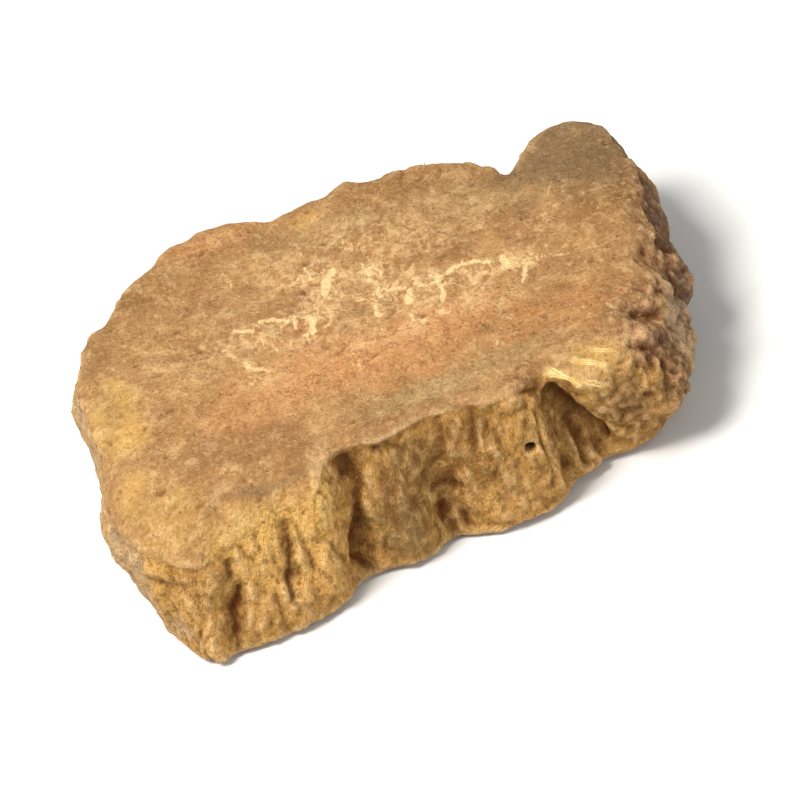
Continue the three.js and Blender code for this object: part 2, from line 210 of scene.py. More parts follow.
# Small pale knobs of the right end: x, y, z, radius and height.
KNOBS = [
    (25.4, -10.9, 14.6, 1.05, 0.5), (26.6, -6.9, 14.5, 0.7, 0.45), (27.3, -5, 14.8, 0.65, 0.45),
    (27.9, -3, 14.8, 0.6, 0.35), (28.6, -1, 14.6, 0.6, 0.35), (24.7, -12.9, 13.6, 0.7, 0.35),
    (26.2, -12.7, 12, 0.6, 0.35), (20.7, -15, 10.5, 0.8, 0.35), (19.1, -14.6, 9.2, 0.8, 0.4),
    (16.9, -13.6, 9.9, 0.6, 0.3), (23.4, -15, 6.2, 0.9, 0.35), (26.2, -13.4, 5.8, 0.9, 0.35),
    (29.6, -3.4, 12.6, 0.8, 0.4),
]

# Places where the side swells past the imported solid: x, y, z, reach across and up, and height.
SWELLINGS = [
    (-31, 6.5, 11.5, 6, 5, 1.3), (-31, -12.5, 9.5, 6.5, 5, 1.2), (31.4, 3.6, 9.5, 5.5, 4, 1.1),
    (29, -10.5, 6, 4.8, 4.6, 2), (17.6, -13, 1.4, 2.8, 2.6, 1.6),
]

# Pale strands laid bare on the broken shoulder: both ends, x, y and z, and the half width.
STRANDS = [
    ((15.2, -12.9, 14.8), (17.6, -15, 13.8), 0.5), ((17.9, -13.1, 15.4), (20.9, -13.8, 14.4), 0.28),
    ((18.3, -15, 14), (20.2, -14.9, 12.9), 0.24), ((20.2, -12.2, 15.3), (22.4, -12.7, 14.7), 0.2),
]

# Colours laid one after the other over the ground of the cut faces, then over that of the side: mask,
# share and colour. The crest and foot layers are painted highlights, hollow is painted shade, and stain,
# deep stain and dusk are partly painted shade.
FACE_LAYERS = [
    ("outer", 0.42, "tan_dark"), ("blush", 0.8, "blush"), ("cambium", 0.75, "cambium"),
    ("gold", 0.7, "gold"), ("ash", 0.6, "ash"), ("marbling", 0.15, "cream"), ("rugged", 0.65, "beaded"),
    ("dusk_and_shade", 0.55, "dusk_and_shade"), ("combed", 0.18, "tan_dark"), ("wide pale", 0.2, "cream"),
    ("wide dark", 0.38, "tan_dark"), ("pale blotches", 0.3, "cream"), ("dark blotches", 0.4, "tan_dark"),
    ("pale dashes", 0.16, "cream"), ("dark dashes", 0.2, "sienna"), ("pale specks", 0.24, "cream"),
    ("dark specks", 0.26, "sienna"), ("ash", 0.6, "ash"), ("red flecks", 0.4, "rust"),
    ("rays", 0.44, "sienna"), ("flecks", 0.72, "cream"), ("worn brown", 0.62, "sienna"),
    ("worn stroke", 0.76, "cream"), ("knob", 0.6, "skin"), ("bare strands", 0.9, "straw"),
    ("face crest", 1.0, "cream"), ("hollow_shade", 0.6, "umber"), ("stain_and_shade", 0.8, "umber"),
]
SIDE_LAYERS = [
    ("browned", 0.7, "olive"), ("strands", 0.3, "gold"), ("pale", 0.6, "peach"), ("gold", 0.75, "gold"),
    ("ash", 0.72, "moss"), ("dusk_and_shade", 0.7, "dusk_and_shade"), ("pale blotches", 0.26, "cream"),
    ("dark blotches", 0.45, "olive"), ("dark specks", 0.3, "sienna"), ("pale beads", 0.42, "peach"),
    ("dark beads", 0.58, "dusk_and_shade"), ("bare", 0.7, "straw"), ("rugged", 0.8, "beaded"),
    ("bark", 0.85, "bark"), ("chalk", 0.4, "chalk"), ("side crest", 1.0, "cream"),
    ("knob", 0.6, "skin"), ("hollow_shade", 0.7, "umber"), ("stain_and_shade", 0.7, "umber"),
    ("deep stain", 0.75, "rust"), ("foot_highlight", 0.3, "cream"),
]

# The stage's soft boxes: place and side in m, power in watts and colour. They shine at the slice's
# middle, and the pale surround adds its own strength.
SOFT_BOXES = {
    "key": ((-0.34, -0.16, 0.68), 0.28, 8.6, (1.0, 0.97, 0.93)),
    "fill": ((0.55, -0.50, 0.35), 0.5, 2.2, (0.96, 0.98, 1.0)),
}
MIDDLE = (0, 0, 8 * MM)
SURROUND = 0.42

# How far apart in the noise two seeds lie, the seed of the strands' bends, and how many bearings the
# rim is measured on.
SEED_STEP = 17.3
STRAND_SEED = 5
BEARINGS = 180


def length_property(name, description, millimetres, smallest=0):
    """A length setting, given in mm."""
    return FloatProperty(name=name, description=description, default=millimetres * MM,
                         min=smallest * MM, subtype="DISTANCE", unit="LENGTH")


def angle_property(name, description, degrees):
    """An angle setting, given in degrees."""
    return FloatProperty(name=name, description=description, default=math.radians(degrees),
                         subtype="ANGLE", unit="ROTATION")


def colour_property(name, description, value):
    """A colour setting, as a linear colour value."""
    return FloatVectorProperty(name=name, description=description, subtype="COLOR",
                               default=value, min=0, max=1)


class RootSurface(bpy.types.PropertyGroup):
    """Sizes of the fine forms that cover the root slice."""

    mesh_step: length_property("Mesh step", "Side of the mesh's faces", 0.31, 0.2)
    wrinkle_relief: length_property(
        "Wrinkle relief", "Height of the wrinkles that run down the side", 0.36)
    wrinkle_spacing: length_property(
        "Wrinkle spacing", "Distance between wrinkles round the side", 3.3)
    fibre_relief: length_property("Fibre relief", "Height of the fibres on the cut faces", 0.07)
    lump_relief: length_property("Lump relief", "Height of the soft lumps of the side", 0.4)
    crack_depth: length_property("Crack depth", "Depth of the drying cracks", 0.6)
    knob_relief: length_property(
        "Knob relief", "Height of the small knobs of the shoulders and the side", 0.16)
    rugged_relief: length_property(
        "Rugged relief", "Height of the lumps where the end is broken", 0.44)


class RootColours(bpy.types.PropertyGroup):
    """Colours of the dried root, as linear colour values."""

    tan: colour_property("Tan", "Ground of the cut faces", (0.425, 0.231, 0.091))
    tan_dark: colour_property("Dark tan", "Darker patches of the cut faces", (0.275, 0.136, 0.049))
    sienna: colour_property("Sienna", "Orange brown specks and rays", (0.35, 0.135, 0.038))
    blush: colour_property("Blush", "Pinkish orange tissue round the pith", (0.555, 0.262, 0.100))
    # Cream is also laid as painted highlight on the crests and along the foot.
    cream: colour_property("Cream", "Pale starchy flecks of the marbling", (0.92, 0.63, 0.31))
    cambium: colour_property("Cambium", "Greenish band inside the bark", (0.37, 0.242, 0.103))
    ash: colour_property("Ash", "Greyish olive weathered patches", (0.17, 0.110, 0.054))
    moss: colour_property("Moss", "Olive of the smooth lobe in front", (0.205, 0.122, 0.045))
    gold: colour_property("Gold", "Bright yellow tissue under the bark", (0.68, 0.405, 0.108))
    ochre: colour_property("Ochre", "Ground of the peeled side", (0.52, 0.262, 0.068))
    olive: colour_property("Olive", "Olive brown streaks of the peeled side", (0.275, 0.138, 0.034))
    # Umber is laid as painted shade in the hollows, as the cracks' own brown mixed with painted shade, and
    # in the pores.
    umber: colour_property("Umber", "Brown of the hollows and cracks", (0.092, 0.028, 0.005))
    # Rust is laid where the furrows are darkest: their own red brown mixed with painted shade.
    rust: colour_property("Rust", "Red brown of the deepest hollows", (0.140, 0.024, 0.005))
    # Dusk is laid on the browner stretches, partly as painted shade.
    dusk_and_shade: colour_property("Dusk", "Brown of the stretches that stayed dark", (0.20, 0.092, 0.024))
    peach: colour_property("Peach", "Fresh pale tissue of the side", (0.68, 0.370, 0.125))
    rose: colour_property("Rose", "Pinkish beige of the broken end", (0.180, 0.086, 0.045))
    skin: colour_property("Skin", "Pale pink of the small knobs", (0.60, 0.33, 0.175))
    # Bark is laid in patches at the back, and on the right end partly as painted shade.
    bark: colour_property("Bark", "Purplish brown skin left in patches", (0.150, 0.085, 0.055))
    straw: colour_property("Straw", "Strands laid bare on the broken shoulder", (0.88, 0.62, 0.26))
    chalk: colour_property("Chalk", "Pale dusty skin of the ends", (0.56, 0.45, 0.31))


class StageSettings(bpy.types.PropertyGroup):
    """Camera and floor round the slice."""

    elevation: angle_property("Elevation", "Camera's height above the horizon", 41.5)
    roll: angle_property("Roll", "How far the slice turns anticlockwise in the picture", 16)
    lens: FloatProperty(
        name="Lens", description="Focal length in millimetres", default=300, min=20)
    view_width: length_property("View width", "Width of what the picture shows at the slice", 82)
    floor_colour: colour_property("Floor", "Colour of the floor", (0.72, 0.72, 0.71))


class LooseBits(bpy.types.PropertyGroup):
    """Torn fibres and crumbs on the slice."""

    fibre_density: FloatProperty(
        name="Fibre density", description="Torn fibres for each square metre where they are thickest",
        default=0.5e6, min=0)
    fibre_length: length_property("Fibre length", "Length of a torn fibre", 1.1)
    fibre_width: length_property("Fibre width", "Width of a torn fibre", 0.075)
    crumb_density: FloatProperty(
        name="Crumb density", description="Crumbs for each square metre where they are thickest",
        default=0.16e6, min=0)
    crumb_size: length_property("Crumb size", "Width of a crumb", 0.2)
    seed: IntProperty(name="Seed", description="Seed of the scatter", default=7)


# Shapes


def smoothstep(values, low, high):
    """Rises smoothly from 0 at low to 1 at high."""
    share = np.clip((values - low) / (high - low), 0, 1)
    return share * share * (3 - 2 * share)


def bell(values, middle, width):
    """1 where values are at the middle, fading to 0 about two widths away from it."""
    return np.exp(-((values - middle) / width) ** 2)


def perlin(points, size, seed):
    """Perlin noise from -1 to 1 at points, with features about size across."""
    moved = points / size + SEED_STEP * seed
    return np.array([noise.noise(p) for p in moved.tolist()])


def warped(place, amount, size, seeds):
    """Places bent by noise, up to amount in mm, with one seed for each axis."""
    return place[:, :len(seeds)] + amount * np.stack([perlin(place, size, s) for s in seeds], 1)


def fractal(points, size, seed, octaves=4):
    """Perlin noise with finer and weaker layers over it."""
    total = np.zeros(len(points))
    for octave in range(octaves):
        total += perlin(points, size / 2.1 ** octave, seed + octave) / 1.9 ** octave
    return total


def ridges(points, size, seed):
    """Noise that peaks at 1 along thin winding lines and is 0 away from them."""
    return np.clip(1 - 3.2 * np.abs(perlin(points, size, seed)), 0, 1) ** 2


def folds(points, size, seed, octaves=3):
    """Rounded swellings with sharp creases between them, about 0 on average."""
    total = np.zeros(len(points))
    for octave in range(octaves):
        crease = np.abs(perlin(points, size / 2.05 ** octave, seed + octave))
        total += (2.2 * np.sqrt(crease + 0.01) - 1.0) / 2.0 ** octave
    return total


class Skin:
    """The vertices of a mesh as arrays in mm, with their normals and their neighbours."""

    def __init__(self, mesh):
        self.mesh = mesh
        count = len(mesh.vertices)
        edges = np.empty(len(mesh.edges) * 2, np.int32)
        mesh.edges.foreach_get("vertices", edges)
        self.ends = edges.reshape(-1, 2)
        self.degree = np.bincount(edges, minlength=count).astype(float)
        self.place = self.read("co") / MM
        self.normal = self.read("normal")

    def read(self, name):
        """Three numbers for each vertex of the mesh."""
        values = np.empty(len(self.mesh.vertices) * 3)
        self.mesh.vertices.foreach_get(name, values)
        return values.reshape(-1, 3)

    def write(self):
        """Moves the mesh's vertices to where the arrays have them."""
        self.mesh.vertices.foreach_set("co", (self.place * MM).ravel())
        self.mesh.update()
        self.normal = self.read("normal")

    def spread(self, values, rounds):
        """Evens values out between neighbours, round after round."""
        first, second = self.ends.T
        columns = values.reshape(len(self.place), -1).astype(float)
        for _ in range(rounds):
            result = np.empty_like(columns)
            for c in range(columns.shape[1]):
                column = columns[:, c]
                total = np.bincount(first, column[second], len(column))
                total += np.bincount(second, column[first], len(column))
                result[:, c] = 0.5 * column + 0.5 * total / self.degree
            columns = result
        return columns.reshape(values.shape)

    def hollowness(self, rounds):
        """How far each vertex lies below the mean of those around it, in mm."""
        return np.einsum("ij,ij->i", self.spread(self.place, rounds) - self.place, self.normal)

    def store(self, name, values):
        """Keeps values on the mesh as a point attribute, for materials to read."""
        kind, key = ("FLOAT", "value") if values.ndim == 1 else ("FLOAT_VECTOR", "vector")
        attribute = self.mesh.attributes.new(name, kind, "POINT")
        attribute.data.foreach_set(key, values.astype(np.float32).ravel())


def link_piece(name, mesh):
    """Puts a mesh in the scene as a new object."""
    piece = bpy.data.objects.new(name, mesh)
    bpy.context.scene.collection.objects.link(piece)
    return piece


def mesh_piece(name, form):
    """Turns a form into a mesh and puts it in the scene as a new object."""
    mesh = bpy.data.meshes.new(name)
    form.to_mesh(mesh)
    form.free()
    return link_piece(name, mesh)


def evaluated_mesh(piece):
    """The mesh of a piece with its modifiers applied."""
    depsgraph = bpy.context.evaluated_depsgraph_get()
    depsgraph.update()
    return bpy.data.meshes.new_from_object(piece.evaluated_get(depsgraph), depsgraph=depsgraph)


def smooth_solid(name, step):
    """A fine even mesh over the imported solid, with its facets rounded."""
    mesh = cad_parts[NODE].data.copy()
    mesh.materials.clear()
    form = bmesh.new()
    form.from_mesh(mesh)
    bmesh.ops.remove_doubles(form, verts=form.verts, dist=0.002 * MM)
    form.to_mesh(mesh)
    form.free()
    rough = link_piece(name, mesh)
    rounding = rough.modifiers.new("Rounding", "SUBSURF")
    rounding.levels = rounding.render_levels = 1
    evening = rough.modifiers.new("Evening", "REMESH")
    evening.mode = "VOXEL"
    evening.voxel_size = step
    fine = evaluated_mesh(rough)
    rough.modifiers.clear()
    rough.data = fine
    for attribute in [a for a in fine.attributes if not a.is_internal and not a.is_required]:
        fine.attributes.remove(attribute)
    fine.materials.clear()
    return rough


def swell_out(skin):
    """Pushes the side out, level with the ground, where the root is fuller than its solid."""
    level = skin.spread(skin.normal, 6) * [1, 1, 0]
    for x, y, z, across, up, height in SWELLINGS:
        far = np.linalg.norm((skin.place - [x, y, z]) / [across, across, up], axis=1)
        skin.place += height * np.exp(-1.4 * far ** 2)[:, None] * level
    skin.write()


def rim_reach(bearing, reach):
    """How far the rim lies from the pith on each bearing, from the vertices on all bearings."""
    index = ((bearing + math.pi) / (2 * math.pi) * BEARINGS).astype(int) % BEARINGS
    farthest = np.zeros(BEARINGS)
    np.maximum.at(farthest, index, reach)
    padded = np.concatenate([farthest[-3:], farthest, farthest[:4]])
    softened = np.convolve(padded, np.ones(5) / 5, "same")[3:-4]
    around = np.linspace(-math.pi, math.pi, BEARINGS, endpoint=False) + math.pi / BEARINGS
    return np.interp(bearing, around, softened, period=2 * math.pi)


class Whereabouts:
    """Where each vertex of the smooth slice lies on the root."""

    def __init__(self, skin):
        place = skin.place
        facing = skin.spread(skin.normal, 6)
        self.facing = facing / np.linalg.norm(facing, axis=1)[:, None]
        dx, dy = place[:, 0] - PITH[0], place[:, 1] - PITH[1]
        bearing, reach = np.arctan2(dy, dx), np.hypot(dx, dy)
        self.ring = reach / rim_reach(bearing, reach)
        self.upper = smoothstep(self.facing[:, 2], 0.42, 0.72)
        self.lower = smoothstep(-self.facing[:, 2], 0.5, 0.8)
        self.side = 1 - np.maximum(self.upper, self.lower)
        self.outward = np.stack([np.cos(bearing), np.sin(bearing), np.zeros(len(bearing))], 1)
        self.grain = self.grain_place(place)
        self.furrow, self.stain_and_shade = front_furrows(place, self.facing)
        self.gouge, gouge_stain_and_shade = grooves(warped(place, 0.25, 1.2, (6, 7, 9)), GOUGES)
        # The gouges' darkness and the gap under the rim, where shade is painted as well as the surface
        # sunk.
        self.gap = np.maximum(gouge_stain_and_shade, broken_rim(place, self))
        bared = [((start, end), half_width, 1.0) for start, end, half_width in STRANDS]
        self.ridge = line_mask(warped(place, 0.25, 1.4, (15, 16, 17)), bared, 0.8)
        self.knob = knobs(place)
        self.rugged = zone_mask(place, RUGGED_ZONES, 59) * (1 - self.lower)
        in_front = smoothstep(-place[:, 1], 8, 11) * self.side
        across = place[:, [0, 2, 1]]
        self.lobe = zone_mask(across, ASH_LOBES, 73) * in_front
        self.pale = zone_mask(across, PALE_LOBES, 77) * in_front
        # Browner stretches, partly the root's own brown and partly painted shade under the rim and round
        # the hollows.
        self.dusk_and_shade = np.maximum(zone_mask(across, DUSK_AND_SHADE_LOBES, 79) * in_front,
                               zone_mask(place, DUSK_AND_SHADE_ZONES, 83) * self.upper)
        self.marbling = zone_mask(place, MARBLING_ZONES, 61) * (self.upper + self.lower)

    def grain_place(self, place):
        """Places whose third axis runs with the fibres: out from the pith, then down the side."""
        depth = place[:, 2].max() - place[:, 2]
        along = np.where(self.upper > 0.5, self.ring * RIM_REACH, RIM_REACH + depth)
        along = np.where(self.lower > 0.5, (2 - self.ring) * RIM_REACH + depth, along)
        return np.stack([self.outward[:, 0] * RIM_REACH, self.outward[:, 1] * RIM_REACH, along], 1)

    def fibre_way(self):
        """The way that the fibres run at each vertex."""
        down = np.cross(self.facing, np.cross([0, 0, 1], self.facing))
        return self.side[:, None] * down + (1 - self.side)[:, None] * self.outward


def zone_mask(place, zones, seed):
    """How strongly any of a list of soft zones covers each point, with ragged edges."""
    ragged = 0.35 * perlin(place, 3.2, seed) + 0.2 * perlin(place, 1.1, seed + 1)
    total = np.zeros(len(place))
    for x, y, long, wide, turn, strength in zones:
        c, s = math.cos(math.radians(turn)), math.sin(math.radians(turn))
        dx, dy = place[:, 0] - x, place[:, 1] - y
        far = np.hypot((dx * c + dy * s) / long, (dy * c - dx * s) / wide)
        total = np.maximum(total, strength * smoothstep(-far + ragged, -1.25, -0.35))
    return total


def path_distance(points, path):
    """Distance from points to a path of straight stretches, in as many dimensions as it has."""
    nearest = np.full(len(points), np.inf)
    for start, end in zip(path, path[1:]):
        start, end = np.array(start), np.array(end)
        along = end - start
        share = np.clip((points - start) @ along / (along @ along), 0, 1)
        away = np.linalg.norm(points - start - share[:, None] * along, axis=1)
        nearest = np.minimum(nearest, away)
    return nearest


def line_mask(points, lines, fade):
    """How strongly lines cover points, given as path, half width and strength."""
    mask = np.zeros(len(points))
    for path, half_width, strength in lines:
        near = path_distance(points, path) / half_width
        mask = np.maximum(mask, strength * np.exp(-fade * near ** 2))
    return mask


def grooves(points, lines, halo=0.0):
    """Depth and darkness of grooves, given as path, half width, depth and darkness; the darkness is partly
    the grooves' own brown and partly painted shade.
    """
    depth, stain_and_shade = np.zeros(len(points)), np.zeros(len(points))
    for path, half_width, deep, dark in lines:
        near = path_distance(points, path) / half_width
        depth = np.maximum(depth, deep * np.exp(-0.7 * near ** 1.5))
        shade = np.maximum(halo * np.exp(-0.25 * near ** 2), np.exp(-0.9 * near ** 1.5))
        stain_and_shade = np.maximum(stain_and_shade, dark * shade)
    return depth, stain_and_shade


def front_furrows(place, facing):
    """Depth and darkness of the furrows and the worm hole carved in the front of the side. The darkness is
    partly the furrows' own brown and partly painted shade, and in the worm hole it is painted shade.
    """
    front = place[:, [0, 2]].copy()
    front[:, 0] += 0.28 * perlin(place * [1, 1, 0.5], 1.6, 3) + 0.10 * perlin(place, 0.6, 4)
    depth, stain_and_shade = grooves(front, FURROWS, halo=0.45)
    x, z, radius, deep = WORM_HOLE
    hole = 1 - smoothstep(np.hypot(place[:, 0] - x, place[:, 2] - z) / radius, 0.6, 1.5)
    shown = smoothstep(-facing[:, 1], 0.1, 0.4)
    broken = 0.45 + 0.55 * smoothstep(perlin(place * [1, 1, 0.5], 1.7, 5), -0.35, 0.25)
    return shown * np.maximum(depth, deep * hole), shown * np.maximum(stain_and_shade * broken, hole)


def broken_rim(place, where):
    """1 in the gap under the rim at the back of the right end, fading to 0 beside it. It sinks the gap,
    and the materials paint shade into it.
    """
    x, y = place[:, 0], place[:, 1]
    gap = bell(where.side, 0.55, 0.22) * smoothstep(where.facing[:, 2], -0.1, 0.2)
    stretch = smoothstep(x, 26.5, 29) * smoothstep(y, 0, 2) * smoothstep(-y, -13, -9)
    return gap * stretch * smoothstep(perlin(place, 2.4, 8), -0.25, 0.15)


def knobs(place):
    """Height in mm of the pale knobs of the right end."""
    height = np.zeros(len(place))
    for x, y, z, radius, high in KNOBS:
        far = np.linalg.norm(place - [x, y, z], axis=1) / radius
        height = np.maximum(height, high * np.exp(-far ** 2))
    return height


def marbling_relief(place):
    """Winding ridges of the marbling, from 0 to 1."""
    bent = warped(place, 0.8, 2.6, (81, 82, 83))
    broken = smoothstep(perlin(place, 1.9, 84), -0.1, 0.3)
    return ridges(bent * [0.8, 1.2, 1], 2.0, 85) * broken


def side_relief(place, where, sizes):
    """Height in mm of the swellings, wrinkles, furrows and cracks of the side."""
    bent = warped(place, 0.7, 3.4, (12, 13, 14))
    lumps = fractal(place * [1, 1, 0.7], 4.6, 11, 2) * sizes.lump_relief
    wrinkles = folds(bent * [1, 1, 0.34], sizes.wrinkle_spacing / MM, 21, 3) * sizes.wrinkle_relief
    knots = folds(bent * [1, 1, 0.7], 1.5, 25, 2) * 0.28 * sizes.wrinkle_relief
    cracks = ridges(bent * [1, 1, 0.22], 3.3, 31) * smoothstep(perlin(place, 5, 32), 0.0, 0.4)
    calm = (1 - 0.55 * smoothstep(where.furrow, 0.1, 0.6)) * (1 - 0.75 * where.lobe)
    relief = lumps + calm * (wrinkles + knots) - cracks * sizes.crack_depth
    return relief / MM - 0.30 - where.furrow


def knob_relief(place, sizes):
    """Height in mm of the small knobs that the peeled tissue dried into."""
    return folds(warped(place, 0.4, 1.3, (102, 103, 104)), 1.7, 105, 2) * sizes.knob_relief / MM


def face_relief(place, where, sizes):
    """Height in mm of the waves, fibres, pits and cracks of the cut faces."""
    waves = 0.14 * fractal(place, 5.0, 45, 3)
    grit = 0.09 * fractal(place, 0.9, 47, 2)
    streaks = fractal(where.grain * [1, 1, 0.16], 1.0, 41, 3) * sizes.fibre_relief / MM
    streaks *= smoothstep(where.ring + 0.2 * perlin(place, 5, 42), 0.5, 0.9)
    pits = np.clip(perlin(place, 1.2, 49) - 0.45, 0, 1) * 1.5
    splits = ridges(where.grain * [1, 1, 0.25], 3.6, 51) * smoothstep(where.ring, 0.6, 0.95)
    splits *= smoothstep(perlin(place, 6, 52), 0.05, 0.4)
    roll = 0.25 * bell(where.ring, 0.955, 0.03) * (0.5 + perlin(place, 2.2, 57))
    relief = waves + grit + streaks - pits + roll - 0.12
    relief += 0.10 * marbling_relief(place) * where.marbling
    chips = smoothstep(perlin(place, 1.5, 58), 0.1, 0.4) * bell(where.ring, 1, 0.035)
    return relief - 0.45 * splits - 0.35 * chips


def rugged_relief(place, sizes):
    """Height in mm of the lumps of the broken end."""
    bent = warped(place, 0.5, 1.5, (92, 93, 94))
    lumps = 0.40 * folds(bent, 1.3, 95, 3) + 0.55 * fractal(bent, 0.95, 98, 3)
    gaps = smoothstep(perlin(bent, 1.0, 96), 0.20, 0.45)
    return (lumps - 0.7 * gaps - 0.1) * sizes.rugged_relief / MM


def grow_surface(piece, sizes):
    """Grows wrinkles, furrows, fibres and cracks over a smooth slice, and stores its masks."""
    skin = Skin(piece.data)
    skin.place = skin.spread(skin.place, 5)
    skin.write()
    swell_out(skin)
    where = Whereabouts(skin)
    place = skin.place
    face = face_relief(place, where, sizes)
    height = where.side * side_relief(place, where, sizes) + where.upper * face
    height += where.lower * 0.5 * (face - 0.1)
    height += where.rugged * rugged_relief(place, sizes)
    height += 0.32 * where.ridge + where.knob - np.maximum(where.gouge, 0.5 * where.gap)
    knobbly = np.maximum(zone_mask(place, GOLD_ZONES, 69), 0.7 * where.side) * (1 - where.lobe)
    height += knobbly * (1 - where.lower) * knob_relief(place, sizes)
    skin.place = skin.spread(place + skin.normal * height[:, None], 1)
    skin.place[:, 2] = np.maximum(skin.place[:, 2] - min(skin.place[:, 2].min(), 0), 0)
    skin.write()
    store_masks(skin, where)


def store_masks(skin, where):
    """Keeps on the mesh what the materials and the scatters need to know of each vertex."""
    place, facing = skin.place, where.facing
    fine, broad = skin.hollowness(3), skin.hollowness(50)
    # Painted shade: how deep each vertex lies in a hollow, fine and broad, for umber to darken it.
    hollow_shade = 0.65 * smoothstep(fine, 0.012, 0.085) + 0.55 * smoothstep(broad, 0.08, 0.60)
    # Painted highlight: how far each vertex stands out on a crest, fine and broad, for cream to light it.
    crest_highlight = 0.6 * smoothstep(-fine, 0.012, 0.08) + 0.5 * smoothstep(-broad, 0.05, 0.5)
    behind = smoothstep(place[:, 1], 6, 18)
    patches = fractal(place * [1, 1, 0.5], 7.0, 71, 3) + 0.55 * behind
    # The end facing right, where bark is laid partly as the real skin and partly as painted shade.
    right_end_bark_and_shade = smoothstep(facing[:, 0], 0.5, 0.8) * smoothstep(place[:, 1], -4, 0)
    bark = smoothstep(patches, 0.42, 0.62) * (0.15 + 0.85 * behind)
    left_end = smoothstep(-facing[:, 0], 0.65, 0.92)
    edge = smoothstep(facing[:, 0], 0.5, 0.8) * smoothstep(place[:, 1], -11, -8)
    edge *= smoothstep(-place[:, 1], 0.5, 3.5)
    ends = np.maximum(left_end, edge) * smoothstep(fractal(place, 3.4, 75, 3), -0.8, 0.1)
    pale_marks = line_mask(warped(place, 0.32, 1.1, (33, 34)), PALE_STROKES, 1.1)
    brown_marks = line_mask(warped(place, 0.32, 1.1, (36, 37)), BROWN_STROKES, 1.1)
    rim = bell(where.ring, 0.98, 0.04) * where.upper
    shown = (1 - hollow_shade) * (1 - 0.9 * where.side * (1 - where.rugged))
    masks = {
        "side": where.side,
        "ring": where.ring,
        "grain": where.grain,
        "fibre_way": where.fibre_way(),
        "hollow_shade": np.clip(hollow_shade, 0, 1),
        "crest_highlight": np.clip(crest_highlight, 0, 1),
        # Partly the furrows' and gouges' own brown and partly painted shade, with painted shade in the gap
        # under the right end's rim.
        "stain_and_shade": np.maximum(where.stain_and_shade, 0.9 * where.gap),
        "dusk_and_shade": where.dusk_and_shade,
        "pale": where.pale,
        "bare": where.ridge,
        "stroke": pale_marks * where.upper,
        "brown": brown_marks * where.upper,
        "knob": smoothstep(where.knob, 0.05, 0.45),
        "rugged": where.rugged,
        "marbling": where.marbling,
        # Painted highlight: a cream band along the bottom of the side.
        "foot_highlight": smoothstep(-place[:, 2], -1.8, -0.5) * where.side,
        "bark": where.side * np.maximum(bark, right_end_bark_and_shade * smoothstep(patches, -0.7, 0.1)),
        "chalk": ends * where.side,
        "blush": zone_mask(place, BLUSH_ZONES, 63) * where.upper,
        "cambium": zone_mask(place, CAMBIUM_ZONES, 65) * where.upper,
        "ash": np.maximum(zone_mask(place, ASH_ZONES, 67) * where.upper, where.lobe),
        "gold": zone_mask(place, GOLD_ZONES, 69) * smoothstep(place[:, 2], 1.0, 11.0),
        "frayed": np.clip(0.8 * rim + 0.35 * where.side + 0.25 * where.rugged, 0, 1),
        "dusty": np.clip((0.05 + 0.5 * where.rugged) * shown, 0, 1),
    }
    for name, values in masks.items():
        skin.store(name, values)


# Materials


class Wiring:
    """Short calls that add nodes to one tree. An input takes a value or another node's output."""

    def __init__(self, tree):
        self.tree = tree

    def feed(self, socket, value):
        if isinstance(value, bpy.types.NodeSocket):
            self.tree.links.new(value, socket)
        else:
            socket.default_value = value

    def node(self, kind, inputs=None, **settings):
        """A new node with its settings, and with its inputs fed by name or number."""
        made = self.tree.nodes.new(kind)
        for name, value in settings.items():
            setattr(made, name, value)
        for key, value in (inputs or {}).items():
            self.feed(made.inputs[key], value)
        return made

    def maths(self, operation, first, second=0.0):
        return self.node("ShaderNodeMath", {0: first, 1: second}, operation=operation).outputs[0]

    def times(self, first, second):
        return self.maths("MULTIPLY", first, second)

    def vectors(self, operation, first, second=(0, 0, 0)):
        key = "Scale" if operation == "SCALE" else 1
        made = self.node("ShaderNodeVectorMath", {0: first, key: second}, operation=operation)
        return made.outputs[0]

    def attribute(self, name, output="Fac"):
        made = self.node("ShaderNodeAttribute", attribute_name=name, attribute_type="GEOMETRY")
        return made.outputs[output]

    def noise(self, vector, scale, detail=2.0, roughness=0.55, distortion=0.0, output="Fac"):
        inputs = {"Vector": vector, "Scale": scale, "Detail": detail, "Roughness": roughness,
                  "Distortion": distortion}
        return self.node("ShaderNodeTexNoise", inputs).outputs[output]

    def cells(self, vector, scale):
        return self.node("ShaderNodeTexVoronoi", {"Vector": vector, "Scale": scale}).outputs["Distance"]

    def ramp(self, value, low, high, start=0.0, end=1.0):
        names = ("Value", "From Min", "From Max", "To Min", "To Max")
        inputs = dict(zip(names, (value, low, high, start, end)))
        return self.node("ShaderNodeMapRange", inputs, interpolation_type="SMOOTHSTEP").outputs["Result"]

    def mix(self, share, first, second):
        made = self.node("ShaderNodeMix", {"Factor": share}, data_type="RGBA")
        for socket, colour in zip([s for s in made.inputs if s.type == "RGBA"], (first, second)):
            self.feed(socket, colour)
        return [s for s in made.outputs if s.type == "RGBA"][0]

    def lay(self, ground, layers, masks, paint):
        """Lays colours over a ground, each as strongly as its mask times its share."""
        for name, share, colour in layers:
            ground = self.mix(self.times(masks[name], share), ground, paint[colour])
        return ground

    def stretch(self, vector, scale):
        return self.node("ShaderNodeMapping", {"Vector": vector, "Scale": scale}).outputs["Vector"]

    def group(self, group, inputs):
        return self.node("ShaderNodeGroup", inputs, node_tree=group).outputs


def open_group(name, vector, number, value):
    """A new shader node group that takes a vector and a number: its wiring and its inputs."""
    group = bpy.data.node_groups.new(name, "ShaderNodeTree")
    group.interface.new_socket(vector, in_out="INPUT", socket_type="NodeSocketVector")
    socket = group.interface.new_socket(number, in_out="INPUT", socket_type="NodeSocketFloat")
    socket.default_value = value
    wires = Wiring(group)
    return wires, wires.node("NodeGroupInput").outputs


